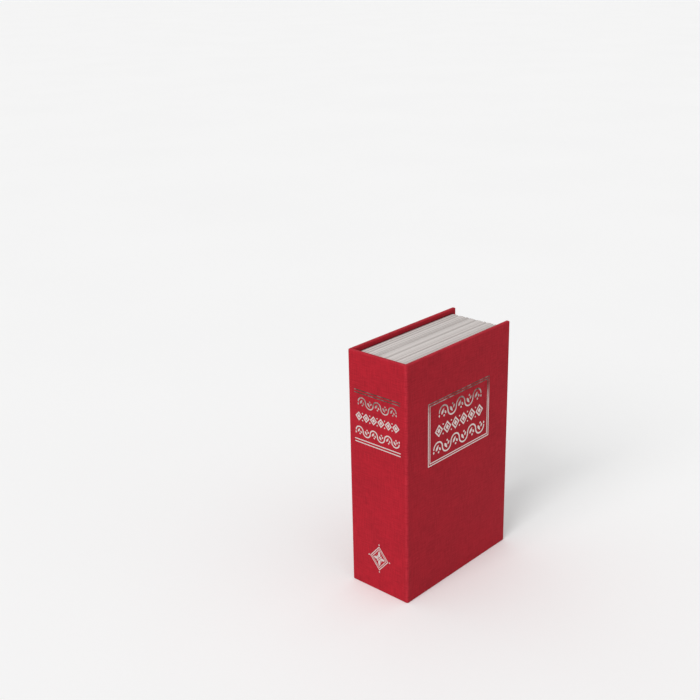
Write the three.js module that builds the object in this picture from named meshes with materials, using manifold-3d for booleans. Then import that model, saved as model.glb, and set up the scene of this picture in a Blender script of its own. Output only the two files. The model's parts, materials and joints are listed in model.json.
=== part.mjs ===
// A safe disguised as a hardback book, in millimetres.
// The origin is the middle of the footprint: +X runs from the spine to the fore-edge,
// +Y from the front cover to the back cover, and +Z up the height of the book.
import * as THREE from "three";
import { mergeVertices } from "three/addons/utils/BufferGeometryUtils.js";
import Module from "manifold-3d";

// Overall book
const HEIGHT = 180;
const WIDTH = 117;
const THICKNESS = 52;

// Covers: greyboard wrapped in book cloth that is turned in and glued
const BOARD = 2.2;
const CLOTH = 0.35;
const GLUE = 0.05;
const COVER = BOARD + 2 * (CLOTH + GLUE);
const SPINE_ROUND = 1.5;
const EDGE_ROUND = 1.0;
const END_ROUND = 0.8;
const END_STEPS = 3;
const CORNER_SEGMENTS = 3;
const TURN_IN = 13;
const HINGE_GAP = 0.16;
const BOARD_JOINT = 0.5;
const ENDPAPER = 0.25;
const ENDPAPER_INSET = 3;

// Moulded page block
const HEAD_SQUARE = 3;
const FORE_SQUARE = 4.5;
const COVER_CLEARANCE = 0.4;
const SPINE_CLEARANCE = 0.3;
const BAND = 8;
const SPINE_BAND = 3.2;
const RIB_COUNT = 8;
const RIB_DEPTH = 0.9;
const RIB_SPREAD = 0.5;
const POCKET_CORNER = 1.5;
const MOULD_WALL = 1.7;
const MOULD_FACE = 2;
const MOULD_SKIRT = 1.2;
const MOULD_WEB = 1.2;
const LONG_CELLS = 5;
const SHORT_CELLS = 3;

// Folded sheet-steel cash box and its lid
const SHEET = 0.8;
const BEND = 1.2;
const POCKET_GAP = 0.6;
const LID_GAP = 0.4;
const LID_SKIRT = 4;
const LID_RECESS = 2.2;
const FLANGE = 6;
const CORNER_SEAM = 0.3;
const SEAM_FLOOR = 3;
const LID_RELIEF = 1.6;

// Rolled hinge
const PIN_RADIUS = 0.8;
const PIN_CLEARANCE = 0.1;
const WALL_CLEARANCE = 0.3;
const KNUCKLES = 7;
const KNUCKLE_GAP = 0.4;
const HINGE_INSET = 8;
const LEAF_DEPTH = 9;
const NOTCH = 0.5;
const PIN_HEAD = 1.4;
const PIN_HEAD_LENGTH = 0.8;

// Rivets that hold the box to the back board
const RIVET_RADIUS = 1.5;
const RIVET_HEAD = 3;
const RIVET_DOME = 1.2;
const RIVET_TAIL = 2.5;
const RIVET_TAIL_LENGTH = 0.6;
const RIVET_INSET = 14;
const HOLE_CLEARANCE = 0.12;

// Wafer cam lock
const LOCK_OFFSET = 16.4;
const BEZEL_RADIUS = 8;
const BEZEL_HEIGHT = 1.6;
const BEZEL_ROUND = 0.5;
const BODY_RADIUS = 6;
const BODY_FLAT = 5.2;
const BODY_LENGTH = 14;
const PLUG_RADIUS = 4.4;
const PLUG_CLEARANCE = 0.15;
const PLUG_RECESS = 0.2;
const PLUG_CHAMFER = 0.3;
const PLUG_TAIL = 5;
const WAFER_COUNT = 4;
const WAFER_PITCH = 2.7;
const WAFER_START = 1.8;
const WAFER = 0.9;
const WAFER_WIDTH = 5.2;
const WAFER_CLEARANCE = 0.12;
const WAFER_STEP = 0.35;
const KEYWAY_CLEARANCE = 0.2;
const WASHER = 0.6;
const WASHER_RADIUS = 9;
const WASHER_TEETH = 16;
const WASHER_TOOTH = 0.8;
const NUT_FLATS = 15;
const NUT = 3;
const NUT_CHAMFER = 0.5;
const CAM = 1.2;
const CAM_WIDTH = 9;
const SCREW_RADIUS = 1.2;
const SCREW_HEAD = 3.6;
const SCREW_HEAD_HEIGHT = 1.8;
const SCREW_SLOT = 0.8;
const SCREW_DEPTH = 3;
const STACK_GAP = 0.1;

// Strike welded inside the box, which the cam turns behind
const STRIKE = 1;
const STRIKE_LENGTH = 22;
const STRIKE_DEPTH = 10;
const STRIKE_TO_LOCK = 3;
const CAM_TO_STRIKE = 0.5;
const CAM_TO_WALL = 0.5;
const camReach = LOCK_OFFSET - SHEET - STACK_GAP - STRIKE - CAM_TO_WALL;

// Keys on their ring
const KEY = 1.4;
const BOW_RADIUS = 10.5;
const KEY_HOLE = 2.75;
const KEY_RIM = 2.6;
const COLLAR_WIDTH = 9;
const COLLAR_LENGTH = 5;
const BLADE_WIDTH = 5.6;
const BLADE_LENGTH = 17;
const BITTING = 0.7;
const GROOVE_WIDTH = 1.2;
const GROOVE_DEPTH = 0.4;
const RING_RADIUS = 8;
const RING_WIRE = 0.55;
const KEY_SPREAD = 20;
const KEY_CLEARANCE = 0.15;
const KEY_TILTS = [1.6, 4];
const KEY_EAR = 1;
const KEY_POINT = 1.8;
const KEY_POINT_WIDTH = 1.2;
const FIRST_CUT = 3;
const CUT_STEPS = [1, 0.55];
const KEYS_FORWARD = 4;

// How far a cutter runs past the face that it goes through
const PAST = 1;

// Faces that several pieces share
const spineX = -WIDTH / 2;
const foreX = WIDTH / 2;
const frontY = -THICKNESS / 2;
const backY = THICKNESS / 2;
const coverInsideY = backY - COVER;
const pageBackY = coverInsideY - ENDPAPER - 2 * GLUE;
const pageFrontY = frontY + COVER + ENDPAPER + GLUE + COVER_CLEARANCE;
const pageSpineX = spineX + COVER + SPINE_CLEARANCE;
const pageForeX = foreX - FORE_SQUARE;
const pageTailZ = HEAD_SQUARE;
const pageHeadZ = HEIGHT - HEAD_SQUARE;

// The pocket in the page block, the lid inside it and the box inside the lid
const pocket = {
  x0: pageSpineX + SPINE_BAND,
  x1: pageForeX - BAND,
  z0: pageTailZ + BAND,
  z1: pageHeadZ - BAND,
};
const lidX1 = pocket.x1 - POCKET_GAP;
const lidZ0 = pocket.z0 + POCKET_GAP;
const lidZ1 = pocket.z1 - POCKET_GAP;
const lidFaceY = pageFrontY + LID_RECESS;
const boxInset = SHEET + LID_GAP;
const box = {
  x0: pocket.x0 + LID_GAP,
  x1: lidX1 - boxInset,
  y0: lidFaceY + boxInset,
  y1: pageBackY - GLUE,
  z0: lidZ0 + boxInset,
  z1: lidZ1 - boxInset,
};

// Outer and inner radius of the folds, a little under the radius of the corners they run into
const foldOutside = 0.9 * BEND;
const foldInside = 0.9 * (BEND - SHEET);

// The hinge line of the lid
const knuckleRadius = PIN_RADIUS + PIN_CLEARANCE + SHEET;
const hingeX = box.x0 + SHEET + WALL_CLEARANCE + knuckleRadius;
const hingeY = lidFaceY + knuckleRadius;
const hingeZ0 = box.z0 + HINGE_INSET;
const hingeZ1 = box.z1 - HINGE_INSET;

// The axis of the lock
const lockX = box.x1 - LOCK_OFFSET;
const lockZ = HEIGHT / 2;

const wasm = await Module();
wasm.setup();

const materials = {
  cloth: new THREE.MeshStandardMaterial({ color: "#a81e2c", roughness: 0.8, metalness: 0 }),
  board: new THREE.MeshStandardMaterial({ color: "#8a8178", roughness: 0.95, metalness: 0 }),
  endpaper: new THREE.MeshStandardMaterial({ color: "#7d1a22", roughness: 0.85, metalness: 0 }),
  pages: new THREE.MeshStandardMaterial({ color: "#dad6d0", roughness: 0.6, metalness: 0 }),
  steel: new THREE.MeshStandardMaterial({ color: "#1d1d1f", roughness: 0.5, metalness: 0.2 }),
  zinc: new THREE.MeshStandardMaterial({ color: "#b9bcc0", roughness: 0.35, metalness: 1 }),
  chrome: new THREE.MeshStandardMaterial({ color: "#d8dadd", roughness: 0.12, metalness: 1 }),
  brass: new THREE.MeshStandardMaterial({ color: "#b8913f", roughness: 0.3, metalness: 1 }),
};

// Turns a closed three.js geometry into a solid that can be joined and cut.
function solid(geometry) {
  const bare = geometry.index ? geometry.toNonIndexed() : geometry.clone();
  bare.deleteAttribute("normal");
  bare.deleteAttribute("uv");
  const merged = mergeVertices(bare, 1e-4);
  return new wasm.Manifold(
    new wasm.Mesh({
      numProp: 3,
      vertProperties: new Float32Array(merged.attributes.position.array),
      triVerts: new Uint32Array(merged.index.array),
    }),
  );
}

// Gives a solid back as a geometry with flat shading.
function geometryOf(body) {
  const result = body.getMesh();
  const geometry = new THREE.BufferGeometry();
  geometry.setAttribute("position", new THREE.BufferAttribute(result.vertProperties, 3));
  geometry.setIndex(new THREE.BufferAttribute(result.triVerts, 1));
  const flat = geometry.toNonIndexed();
  flat.computeVertexNormals();
  return flat;
}

function piece(name, shape, material) {
  const geometry = shape.isBufferGeometry ? shape : geometryOf(shape);
  const mesh = new THREE.Mesh(geometry, material);
  mesh.name = name;
  return mesh;
}

function subtract(body, cutters) {
  return cutters.reduce((rest, cutter) => rest.subtract(cutter), body);
}

function join(bodies) {
  return bodies.reduce((whole, body) => whole.add(body));
}

function block(x0, x1, y0, y1, z0, z1) {
  const geometry = new THREE.BoxGeometry(x1 - x0, y1 - y0, z1 - z0);
  geometry.translate((x0 + x1) / 2, (y0 + y1) / 2, (z0 + z1) / 2);
  return geometry;
}

// The points of an outline, without those that lie on top of the next one.
function distinctPoints(outline, segments) {
  const points = outline.getPoints(segments);
  return points.filter((point, i) => point.distanceTo(points[(i + 1) % points.length]) > 1e-4);
}

// Extrudes an outline drawn in X and Y from z0 to z1, with rounded ends where round is given.
function extrudeUp(shape, z0, z1, round = 0, segments = CORNER_SEGMENTS) {
  const plain = new THREE.Shape(distinctPoints(shape, segments));
  plain.holes = shape.holes.map((hole) => new THREE.Path(distinctPoints(hole, segments)));
  const geometry = new THREE.ExtrudeGeometry(plain, {
    depth: z1 - z0 - 2 * round,
    bevelEnabled: round > 0,
    bevelThickness: round,
    bevelSize: round,
    bevelOffset: -round,
    bevelSegments: 3,
  });
  geometry.translate(0, 0, z0 + round);
  return geometry;
}

// Extrudes an outline drawn in X and Z from y0 to y1.
function extrudeBack(shape, y0, y1, round = 0, segments = CORNER_SEGMENTS) {
  const geometry = extrudeUp(shape, 0, y1 - y0, round, segments);
  geometry.rotateX(Math.PI / 2);
  geometry.translate(0, y1, 0);
  return geometry;
}

// Revolves a closed outline of [radius, depth] points round the Y axis.
function turned(profile, segments = 32) {
  const points = profile.map(([radius, depth]) => new THREE.Vector2(radius, depth));
  return new THREE.LatheGeometry(points, segments);
}

function roundedRectangle(x0, x1, z0, z1, radius) {
  const shape = new THREE.Shape();
  shape.moveTo(x0 + radius, z0);
  shape.lineTo(x1 - radius, z0);
  shape.absarc(x1 - radius, z0 + radius, radius, -Math.PI / 2, 0);
  shape.lineTo(x1, z1 - radius);
  shape.absarc(x1 - radius, z1 - radius, radius, 0, Math.PI / 2);
  shape.lineTo(x0 + radius, z1);
  shape.absarc(x0 + radius, z1 - radius, radius, Math.PI / 2, Math.PI);
  shape.lineTo(x0, z0 + radius);
  shape.absarc(x0 + radius, z0 + radius, radius, Math.PI, 1.5 * Math.PI);
  return shape;
}

// Where the joint between front cover and spine meets the rounded corner, seen from the corner's centre.
// The joint is a mitre that runs inwards at 45 degrees from the corner, which is the hinge line.
function mitreEnd(radius, shift) {
  const along = (shift - Math.sqrt(2 * radius * radius - shift * shift)) / 2;
  return { along, across: along - shift };
}

// Section of the front cover in X and Y, drawn in by inset on every side and by mitreInset at the joint.
function frontSection(inset, mitreInset = inset) {
  const shift = HINGE_GAP / 2 + mitreInset * Math.SQRT2;
  const radius = SPINE_ROUND - inset;
  const edge = EDGE_ROUND - inset;
  const corner = mitreEnd(radius, shift);
  const centreX = spineX + SPINE_ROUND;
  const centreY = frontY + SPINE_ROUND;
  const insideY = frontY + COVER - inset;
  const shape = new THREE.Shape();
  shape.moveTo(spineX + shift + COVER - inset, insideY);
  shape.lineTo(centreX + corner.along, centreY + corner.across);
  shape.absarc(centreX, centreY, radius, Math.atan2(corner.across, corner.along), -Math.PI / 2);
  shape.lineTo(foreX - EDGE_ROUND, frontY + inset);
  shape.absarc(foreX - EDGE_ROUND, frontY + EDGE_ROUND, edge, -Math.PI / 2, 0);
  shape.absarc(foreX - EDGE_ROUND, frontY + COVER - EDGE_ROUND, edge, 0, Math.PI / 2);
  return shape;
}

// Section of the spine and back cover in X and Y, one L drawn in in the same way.
function caseSection(inset, mitreInset = inset) {
  const shift = HINGE_GAP / 2 + mitreInset * Math.SQRT2;
  const radius = SPINE_ROUND - inset;
  const edge = EDGE_ROUND - inset;
  const corner = mitreEnd(radius, shift);
  const centreX = spineX + SPINE_ROUND;
  const centreY = frontY + SPINE_ROUND;
  const insideX = spineX + COVER - inset;
  const shape = new THREE.Shape();
  shape.moveTo(insideX, frontY + shift + COVER - inset);
  shape.lineTo(insideX, coverInsideY + inset);
  shape.lineTo(foreX - EDGE_ROUND, coverInsideY + inset);
  shape.absarc(foreX - EDGE_ROUND, coverInsideY + EDGE_ROUND, edge, -Math.PI / 2, 0);
  shape.absarc(foreX - EDGE_ROUND, backY - EDGE_ROUND, edge, 0, Math.PI / 2);
  shape.lineTo(centreX, backY - inset);
  shape.absarc(centreX, backY - SPINE_ROUND, radius, Math.PI / 2, Math.PI);
  shape.lineTo(spineX + inset, centreY);
  shape.absarc(
    centreX,
    centreY,
    radius,
    -Math.PI,
    Math.atan2(corner.along, corner.across),
  );
  return shape;
}

// A wrapped skin: the outer section with rounded head and tail edges, hollowed for the boards
// and open inside between the turn-ins.
function wrappedCloth(section, windows) {
  const tail = [];
  for (let step = 0; step <= END_STEPS; step += 1) {
    const angle = (step * Math.PI) / 2 / END_STEPS;
    tail.push({ z: END_ROUND * (1 - Math.cos(angle)), inset: END_ROUND * (1 - Math.sin(angle)) });
  }
  const head = tail.map(({ z, inset }) => ({ z: HEIGHT - z, inset })).reverse();
  const rings = [...tail, ...head].map(({ z, inset }) =>
    distinctPoints(section(inset, 0), CORNER_SEGMENTS).map((point) => [point.x, point.y, z]),
  );
  const outside = solid(loft(rings, ([x, y]) => new THREE.Vector2(x, y)));
  const hollow = solid(extrudeUp(section(CLOTH), CLOTH, HEIGHT - CLOTH));
  return subtract(outside, [hollow, ...windows.map(solid)]);
}

function frontCover() {
  const group = new THREE.Group();
  const boardInset = CLOTH + GLUE;
  const insideY = frontY + COVER;
  const window = block(
    spineX + COVER + TURN_IN / 2,
    foreX - TURN_IN,
    insideY - CLOTH - GLUE,
    insideY + PAST,
    TURN_IN,
    HEIGHT - TURN_IN,
  );
  const paper = block(
    spineX + COVER + BOARD_JOINT,
    foreX - ENDPAPER_INSET,
    insideY + GLUE,
    insideY + GLUE + ENDPAPER,
    ENDPAPER_INSET,
    HEIGHT - ENDPAPER_INSET,
  );
  const board = extrudeUp(frontSection(boardInset), boardInset, HEIGHT - boardInset);
  group.add(piece("front_cover_cloth", wrappedCloth(frontSection, [window]), materials.cloth));
  group.add(piece("front_board", board, materials.board));
  group.add(piece("front_endpaper", paper, materials.endpaper));
  return group;
}

// Places in X and Z of the rivets through the floor of the box.
function rivetPlaces() {
  const xs = [box.x0 + RIVET_INSET, box.x1 - RIVET_INSET];
  const zs = [box.z0 + RIVET_INSET, box.z1 - RIVET_INSET];
  return zs.flatMap((z) => xs.map((x) => ({ x, z })));
}

// A round cutter along Y through every rivet place.
function rivetHoles(radius, y0, y1) {
  return rivetPlaces().map(({ x, z }) => {
    const hole = new THREE.CylinderGeometry(radius, radius, y1 - y0, 20);
    hole.translate(x, (y0 + y1) / 2, z);
    return solid(hole);
  });
}

function spineAndBack() {
  const group = new THREE.Group();
  const boardInset = CLOTH + GLUE;
  const spineInsideX = spineX + COVER;
  const windows = [
    block(
      spineInsideX + BOARD_JOINT,
      foreX - TURN_IN,
      coverInsideY - PAST,
      coverInsideY + CLOTH + GLUE,
      TURN_IN,
      HEIGHT - TURN_IN,
    ),
    block(
      spineInsideX - CLOTH - GLUE,
      spineInsideX + PAST,
      frontY + COVER + BOARD,
      coverInsideY - BOARD_JOINT,
      TURN_IN,
      HEIGHT - TURN_IN,
    ),
  ];
  const seam = block(
    spineInsideX - boardInset,
    spineInsideX - boardInset + BOARD_JOINT,
    frontY - PAST,
    backY + PAST,
    -PAST,
    HEIGHT + PAST,
  );
  const boards = solid(extrudeUp(caseSection(boardInset), boardInset, HEIGHT - boardInset));
  const [spineBoard, backBoard] = subtract(boards, [solid(seam)])
    .decompose()
    .sort((a, b) => a.volume() - b.volume());
  const boardBackY = backY - boardInset;
  const tailSeat = boardBackY - RIVET_TAIL_LENGTH - 2 * GLUE;
  const riveted = subtract(backBoard, [
    ...rivetHoles(RIVET_RADIUS + HOLE_CLEARANCE, coverInsideY - PAST, backY),
    ...rivetHoles(RIVET_TAIL + HOLE_CLEARANCE, tailSeat, backY),
  ]);
  const paper = block(
    spineInsideX + BOARD_JOINT,
    foreX - ENDPAPER_INSET,
    pageBackY + GLUE,
    pageBackY + GLUE + ENDPAPER,
    ENDPAPER_INSET,
    HEIGHT - ENDPAPER_INSET,
  );
  const paperHoles = rivetHoles(RIVET_RADIUS + HOLE_CLEARANCE, pageBackY - PAST, backY);
  group.add(piece("spine_and_back_cloth", wrappedCloth(caseSection, windows), materials.cloth));
  group.add(piece("spine_board", spineBoard, materials.board));
  group.add(piece("back_board", riveted, materials.board));
  group.add(piece("back_endpaper", subtract(solid(paper), paperHoles), materials.endpaper));
  return group;
}

// Depths and insets of the ribs across the page block: gatherings of uneven width with narrow furrows.
function ribStations() {
  const furrow = [0, 0.05, 0.16, 0.5, 0.84, 0.95];
  const weights = Array.from({ length: RIB_COUNT }, (_, i) => 1 + RIB_SPREAD * Math.sin(2.1 * i + 0.5));
  const total = weights.reduce((sum, weight) => sum + weight, 0);
  const depth = pageBackY - pageFrontY;
  const stations = [];
  let start = pageFrontY;
  for (const weight of weights) {
    const width = (depth * weight) / total;
    for (const share of furrow) {
      const away = Math.abs(2 * share - 1);
      stations.push({ y: start + share * width, inset: RIB_DEPTH * away ** 4 });
    }
    start += width;
  }
  stations.push({ y: pageBackY, inset: RIB_DEPTH });
  return stations;
}

// A closed skin through a row of flat rings with equally many corners, anticlockwise as seen from the
// last ring; flatten gives a corner's place in the rings' plane.
function loft(rings, flatten) {
  const positions = rings.flat(2);
  const indices = [];
  const sides = rings[0].length;
  for (let ring = 0; ring + 1 < rings.length; ring += 1) {
    for (let corner = 0; corner < sides; corner += 1) {
      const next = (corner + 1) % sides;
      const a = ring * sides + corner;
      const b = ring * sides + next;
      indices.push(a, b, a + sides, b, b + sides, a + sides);
    }
  }
  const last = (rings.length - 1) * sides;
  for (const [a, b, c] of THREE.ShapeUtils.triangulateShape(rings[0].map(flatten), [])) {
    indices.push(a, c, b, last + a, last + b, last + c);
  }
  const geometry = new THREE.BufferGeometry();
  geometry.setAttribute("position", new THREE.Float32BufferAttribute(positions, 3));
  geometry.setIndex(indices);
  return geometry;
}

// Splits a length into cells with a web between each two.
function cells(from, to, count) {
  const pitch = (to - from + MOULD_WEB) / count;
  return Array.from({ length: count }, (_, i) => [
    from + i * pitch,
    from + (i + 1) * pitch - MOULD_WEB,
  ]);
}

// The moulded block of pages: ribbed outside, cored out from behind and open in the middle for the box.
function pageFrame() {
  const rings = ribStations().map(({ y, inset }) => [
    [pageSpineX, y, pageTailZ + inset],
    [pageSpineX, y, pageHeadZ - inset],
    [pageForeX - inset, y, pageHeadZ - inset],
    [pageForeX - inset, y, pageTailZ + inset],
  ]);
  const ribbed = solid(loft(rings, ([x, , z]) => new THREE.Vector2(z, x)));
  const opening = roundedRectangle(pocket.x0, pocket.x1, pocket.z0, pocket.z1, POCKET_CORNER);
  const wall = MOULD_WALL + RIB_DEPTH;
  const coreY0 = pageFrontY + MOULD_FACE;
  const coreY1 = pageBackY + PAST;
  const foreCore = [pocket.x1 + MOULD_SKIRT, pageForeX - wall];
  const tailCore = [pageTailZ + wall, pocket.z0 - MOULD_SKIRT];
  const headCore = [pocket.z1 + MOULD_SKIRT, pageHeadZ - wall];
  const foreCells = cells(pocket.z0, pocket.z1, LONG_CELLS).map(([z0, z1]) =>
    block(foreCore[0], foreCore[1], coreY0, coreY1, z0, z1),
  );
  const endCells = cells(pageSpineX + wall, pocket.x1, SHORT_CELLS).flatMap(([x0, x1]) => [
    block(x0, x1, coreY0, coreY1, tailCore[0], tailCore[1]),
    block(x0, x1, coreY0, coreY1, headCore[0], headCore[1]),
  ]);
  const through = extrudeBack(opening, pageFrontY - PAST, pageBackY + PAST);
  const cutters = [through, ...foreCells, ...endCells].map(solid);
  return piece("page_frame", subtract(ribbed, cutters), materials.pages);
}

// A thin cutter at 45 degrees through one upright corner of the box, where two folded walls meet.
function cornerSeam(x, z, towardsX, towardsZ) {
  const length = 4 * FLANGE;
  const seam = new THREE.BoxGeometry(length, box.y1 - box.y0 - SEAM_FLOOR + PAST, CORNER_SEAM);
  seam.rotateY((-Math.PI / 4) * towardsX * towardsZ);
  seam.translate(x, (box.y0 + box.y1 - SEAM_FLOOR - PAST) / 2, z);
  return solid(seam);
}

// The cash box: floor, four walls and a return flange on the three sides away from the hinge.
function boxTray() {
  const outline = roundedRectangle(box.x0, box.x1, box.z0, box.z1, BEND);
  const hollow = roundedRectangle(
    box.x0 + SHEET,
    box.x1 - SHEET,
    box.z0 + SHEET,
    box.z1 - SHEET,
    BEND - SHEET,
  );
  const mouth = block(
    box.x0 + SHEET,
    box.x1 - FLANGE,
    box.y0 - PAST,
    box.y0 + SHEET + PAST,
    box.z0 + FLANGE,
    box.z1 - FLANGE,
  );
  const hingeSide = block(
    box.x0 + SHEET,
    hingeX + knuckleRadius + NOTCH,
    box.y0 - PAST,
    box.y0 + SHEET + PAST,
    hingeZ0 - NOTCH,
    hingeZ1 + NOTCH,
  );
  const shell = solid(extrudeBack(outline, box.y0, box.y1, foldOutside));
  const cavity = solid(extrudeBack(hollow, box.y0 + SHEET, box.y1 - SHEET, foldInside));
  const seams = [
    cornerSeam(box.x1, box.z1, 1, 1),
    cornerSeam(box.x1, box.z0, 1, -1),
    cornerSeam(box.x0, box.z1, -1, 1),
    cornerSeam(box.x0, box.z0, -1, -1),
  ];
  const holes = rivetHoles(RIVET_RADIUS + HOLE_CLEARANCE, box.y1 - SHEET - PAST, box.y1 + PAST);
  const cut = subtract(shell, [cavity, solid(mouth), solid(hingeSide), ...seams, ...holes]);
  return piece("box_tray", cut, materials.steel);
}

// The knuckles' stretches along the hinge line, numbered from the tail.
function knuckleStretches() {
  const pitch = (hingeZ1 - hingeZ0 + KNUCKLE_GAP) / KNUCKLES;
  return Array.from({ length: KNUCKLES }, (_, i) => [
    hingeZ0 + i * pitch,
    hingeZ0 + (i + 1) * pitch - KNUCKLE_GAP,
  ]);
}

// A rolled strip of sheet round the pin, from one angle to another.
function curl(from, to, clockwise, [z0, z1]) {
  const inner = PIN_RADIUS + PIN_CLEARANCE;
  const shape = new THREE.Shape();
  shape.absarc(hingeX, hingeY, knuckleRadius, from, to, clockwise);
  shape.absarc(hingeX, hingeY, inner, to, from, !clockwise);
  return solid(extrudeUp(shape, z0, z1, 0, 18));
}

function isLidKnuckle(_, index) {
  return index % 2 === 0;
}

function lockHole() {
  const hole = new THREE.CylinderGeometry(
    BODY_RADIUS + HOLE_CLEARANCE,
    BODY_RADIUS + HOLE_CLEARANCE,
    4 * SHEET,
    32,
  );
  const half = BODY_FLAT + HOLE_CLEARANCE;
  const flats = solid(block(-half, half, -2 * SHEET, 2 * SHEET, -2 * half, 2 * half));
  return solid(hole).intersect(flats).translate([lockX, lidFaceY, lockZ]);
}

// The lid: a plate with three folded skirts that overlap the box, and knuckles rolled from its fourth edge.
function boxLid() {
  const plateX0 = hingeX + knuckleRadius + NOTCH;
  const outline = roundedRectangle(plateX0, lidX1, lidZ0, lidZ1, BEND);
  const hollow = roundedRectangle(
    plateX0 - 2 * BEND,
    lidX1 - SHEET,
    lidZ0 + SHEET,
    lidZ1 - SHEET,
    BEND - SHEET,
  );
  const skirtY = lidFaceY + LID_SKIRT;
  const depth = LID_SKIRT + 2 * BEND;
  const pan = solid(extrudeBack(outline, lidFaceY, lidFaceY + depth, foldOutside));
  const inside = solid(
    extrudeBack(hollow, lidFaceY + SHEET, lidFaceY + depth + PAST, foldInside),
  );
  const below = solid(block(spineX, foreX, skirtY, skirtY + depth, 0, HEIGHT));
  const reliefs = [lidZ0, lidZ1].map((z) => {
    const notch = new THREE.CylinderGeometry(LID_RELIEF, LID_RELIEF, depth, 16);
    notch.translate(lidX1, lidFaceY + SHEET + BEND + depth / 2, z);
    return solid(notch);
  });
  const lidStretches = knuckleStretches().filter(isLidKnuckle);
  const tabs = lidStretches.map(([z0, z1]) =>
    solid(block(hingeX, plateX0 + BEND, lidFaceY, lidFaceY + SHEET, z0, z1)),
  );
  const curls = lidStretches.map((stretch) =>
    curl(-Math.PI / 2, Math.PI / 9, true, stretch),
  );
  const plate = solid(
    block(
      plateX0,
      plateX0 + 2 * BEND,
      lidFaceY,
      lidFaceY + SHEET,
      lidZ0 + BEND,
      lidZ1 - BEND,
    ),
  );
  const folded = subtract(pan, [inside, below, ...reliefs]);
  return piece(
    "box_lid",
    join([folded, plate, ...tabs, ...curls]).subtract(lockHole()),
    materials.steel,
  );
}

// The fixed leaf: a strip against the inside of the box wall, with the knuckles between the lid's.
function hingeLeaf() {
  const outerX = hingeX - knuckleRadius;
  const strip = solid(
    block(
      outerX,
      outerX + SHEET,
      hingeY + knuckleRadius + NOTCH,
      hingeY + LEAF_DEPTH,
      hingeZ0,
      hingeZ1,
    ),
  );
  const leafStretches = knuckleStretches().filter((_, i) => !isLidKnuckle(_, i));
  const necks = leafStretches.map(([z0, z1]) =>
    solid(block(outerX, outerX + SHEET, hingeY, hingeY + LEAF_DEPTH, z0, z1)),
  );
  const curls = leafStretches.map((stretch) => curl(Math.PI, 2.25 * Math.PI, false, stretch));
  return piece("hinge_leaf", join([strip, ...necks, ...curls]), materials.steel);
}

function hingePin() {
  const reach = (hingeZ1 - hingeZ0) / 2 + KNUCKLE_GAP;
  const end = reach + PIN_HEAD_LENGTH;
  const pin = turned(
    [
      [0, -end],
      [PIN_HEAD * 0.7, -end],
      [PIN_HEAD, -end + PIN_HEAD_LENGTH / 2],
      [PIN_HEAD, -reach],
      [PIN_RADIUS, -reach],
      [PIN_RADIUS, reach],
      [PIN_HEAD, reach],
      [PIN_HEAD, end - PIN_HEAD_LENGTH / 2],
      [PIN_HEAD * 0.7, end],
      [0, end],
    ],
    20,
  );
  const mesh = piece("hinge_pin", pin, materials.zinc);
  mesh.rotation.x = Math.PI / 2;
  mesh.position.set(hingeX, hingeY, (hingeZ0 + hingeZ1) / 2);
  return mesh;
}

// Depth below the lid's outer face of each layer of the lock stack.
const washerFrom = SHEET + STACK_GAP / 2;
const nutFrom = washerFrom + WASHER + STACK_GAP / 2;
const camFrom = BODY_LENGTH + 2 * STACK_GAP;
const camTo = camFrom + CAM;

// An angle bracket on the box wall beside the lock. Its inner leg is what the cam turns behind.
function strikeBracket() {
  const wallX = box.x1 - SHEET - STACK_GAP;
  const legY = lidFaceY + camFrom - CAM_TO_STRIKE;
  const reach = LOCK_OFFSET - SHEET - STACK_GAP - BODY_RADIUS - STRIKE_TO_LOCK;
  const y0 = legY - STRIKE;
  const shape = new THREE.Shape();
  shape.moveTo(wallX - reach, y0);
  shape.lineTo(wallX - STRIKE, y0);
  shape.absarc(wallX - STRIKE, y0 + STRIKE, STRIKE, -Math.PI / 2, 0);
  shape.lineTo(wallX, y0 + STRIKE_DEPTH);
  shape.lineTo(wallX - STRIKE, y0 + STRIKE_DEPTH);
  shape.lineTo(wallX - STRIKE, y0 + STRIKE);
  shape.lineTo(wallX - reach, y0 + STRIKE);
  const bracket = extrudeUp(shape, lockZ - STRIKE_LENGTH / 2, lockZ + STRIKE_LENGTH / 2);
  return piece("strike_bracket", bracket, materials.steel);
}

function trayRivet(number, { x, z }) {
  const floorY = box.y1 - SHEET - GLUE;
  const tailY = backY - CLOTH - 2 * GLUE;
  const rivet = turned(
    [
      [0, -RIVET_DOME],
      [RIVET_HEAD * 0.45, -RIVET_DOME * 0.9],
      [RIVET_HEAD * 0.8, -RIVET_DOME * 0.6],
      [RIVET_HEAD, -RIVET_DOME * 0.15],
      [RIVET_HEAD, 0],
      [RIVET_RADIUS, 0],
      [RIVET_RADIUS, tailY - RIVET_TAIL_LENGTH - floorY],
      [RIVET_TAIL, tailY - RIVET_TAIL_LENGTH - floorY],
      [RIVET_TAIL, tailY - floorY],
      [0, tailY - floorY],
    ],
    20,
  );
  const mesh = piece("tray_rivet_" + number, rivet, materials.zinc);
  mesh.position.set(x, floorY, z);
  return mesh;
}

// The outline of the keyway or, with no clearance, of the blade's section: two grooves guide the blade.
function bladeSection(clearance) {
  const half = KEY / 2 + clearance;
  const tall = BLADE_WIDTH / 2 + clearance;
  const groove = GROOVE_WIDTH / 2 - clearance;
  const bottom = half - GROOVE_DEPTH;
  const shape = new THREE.Shape();
  shape.moveTo(-half, -tall);
  shape.lineTo(half, -tall);
  shape.lineTo(half, -groove);
  shape.lineTo(bottom, -groove);
  shape.lineTo(bottom, groove);
  shape.lineTo(half, groove);
  shape.lineTo(half, tall);
  shape.lineTo(-half, tall);
  shape.lineTo(-half, groove);
  shape.lineTo(-bottom, groove);
  shape.lineTo(-bottom, -groove);
  shape.lineTo(-half, -groove);
  return shape;
}

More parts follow.
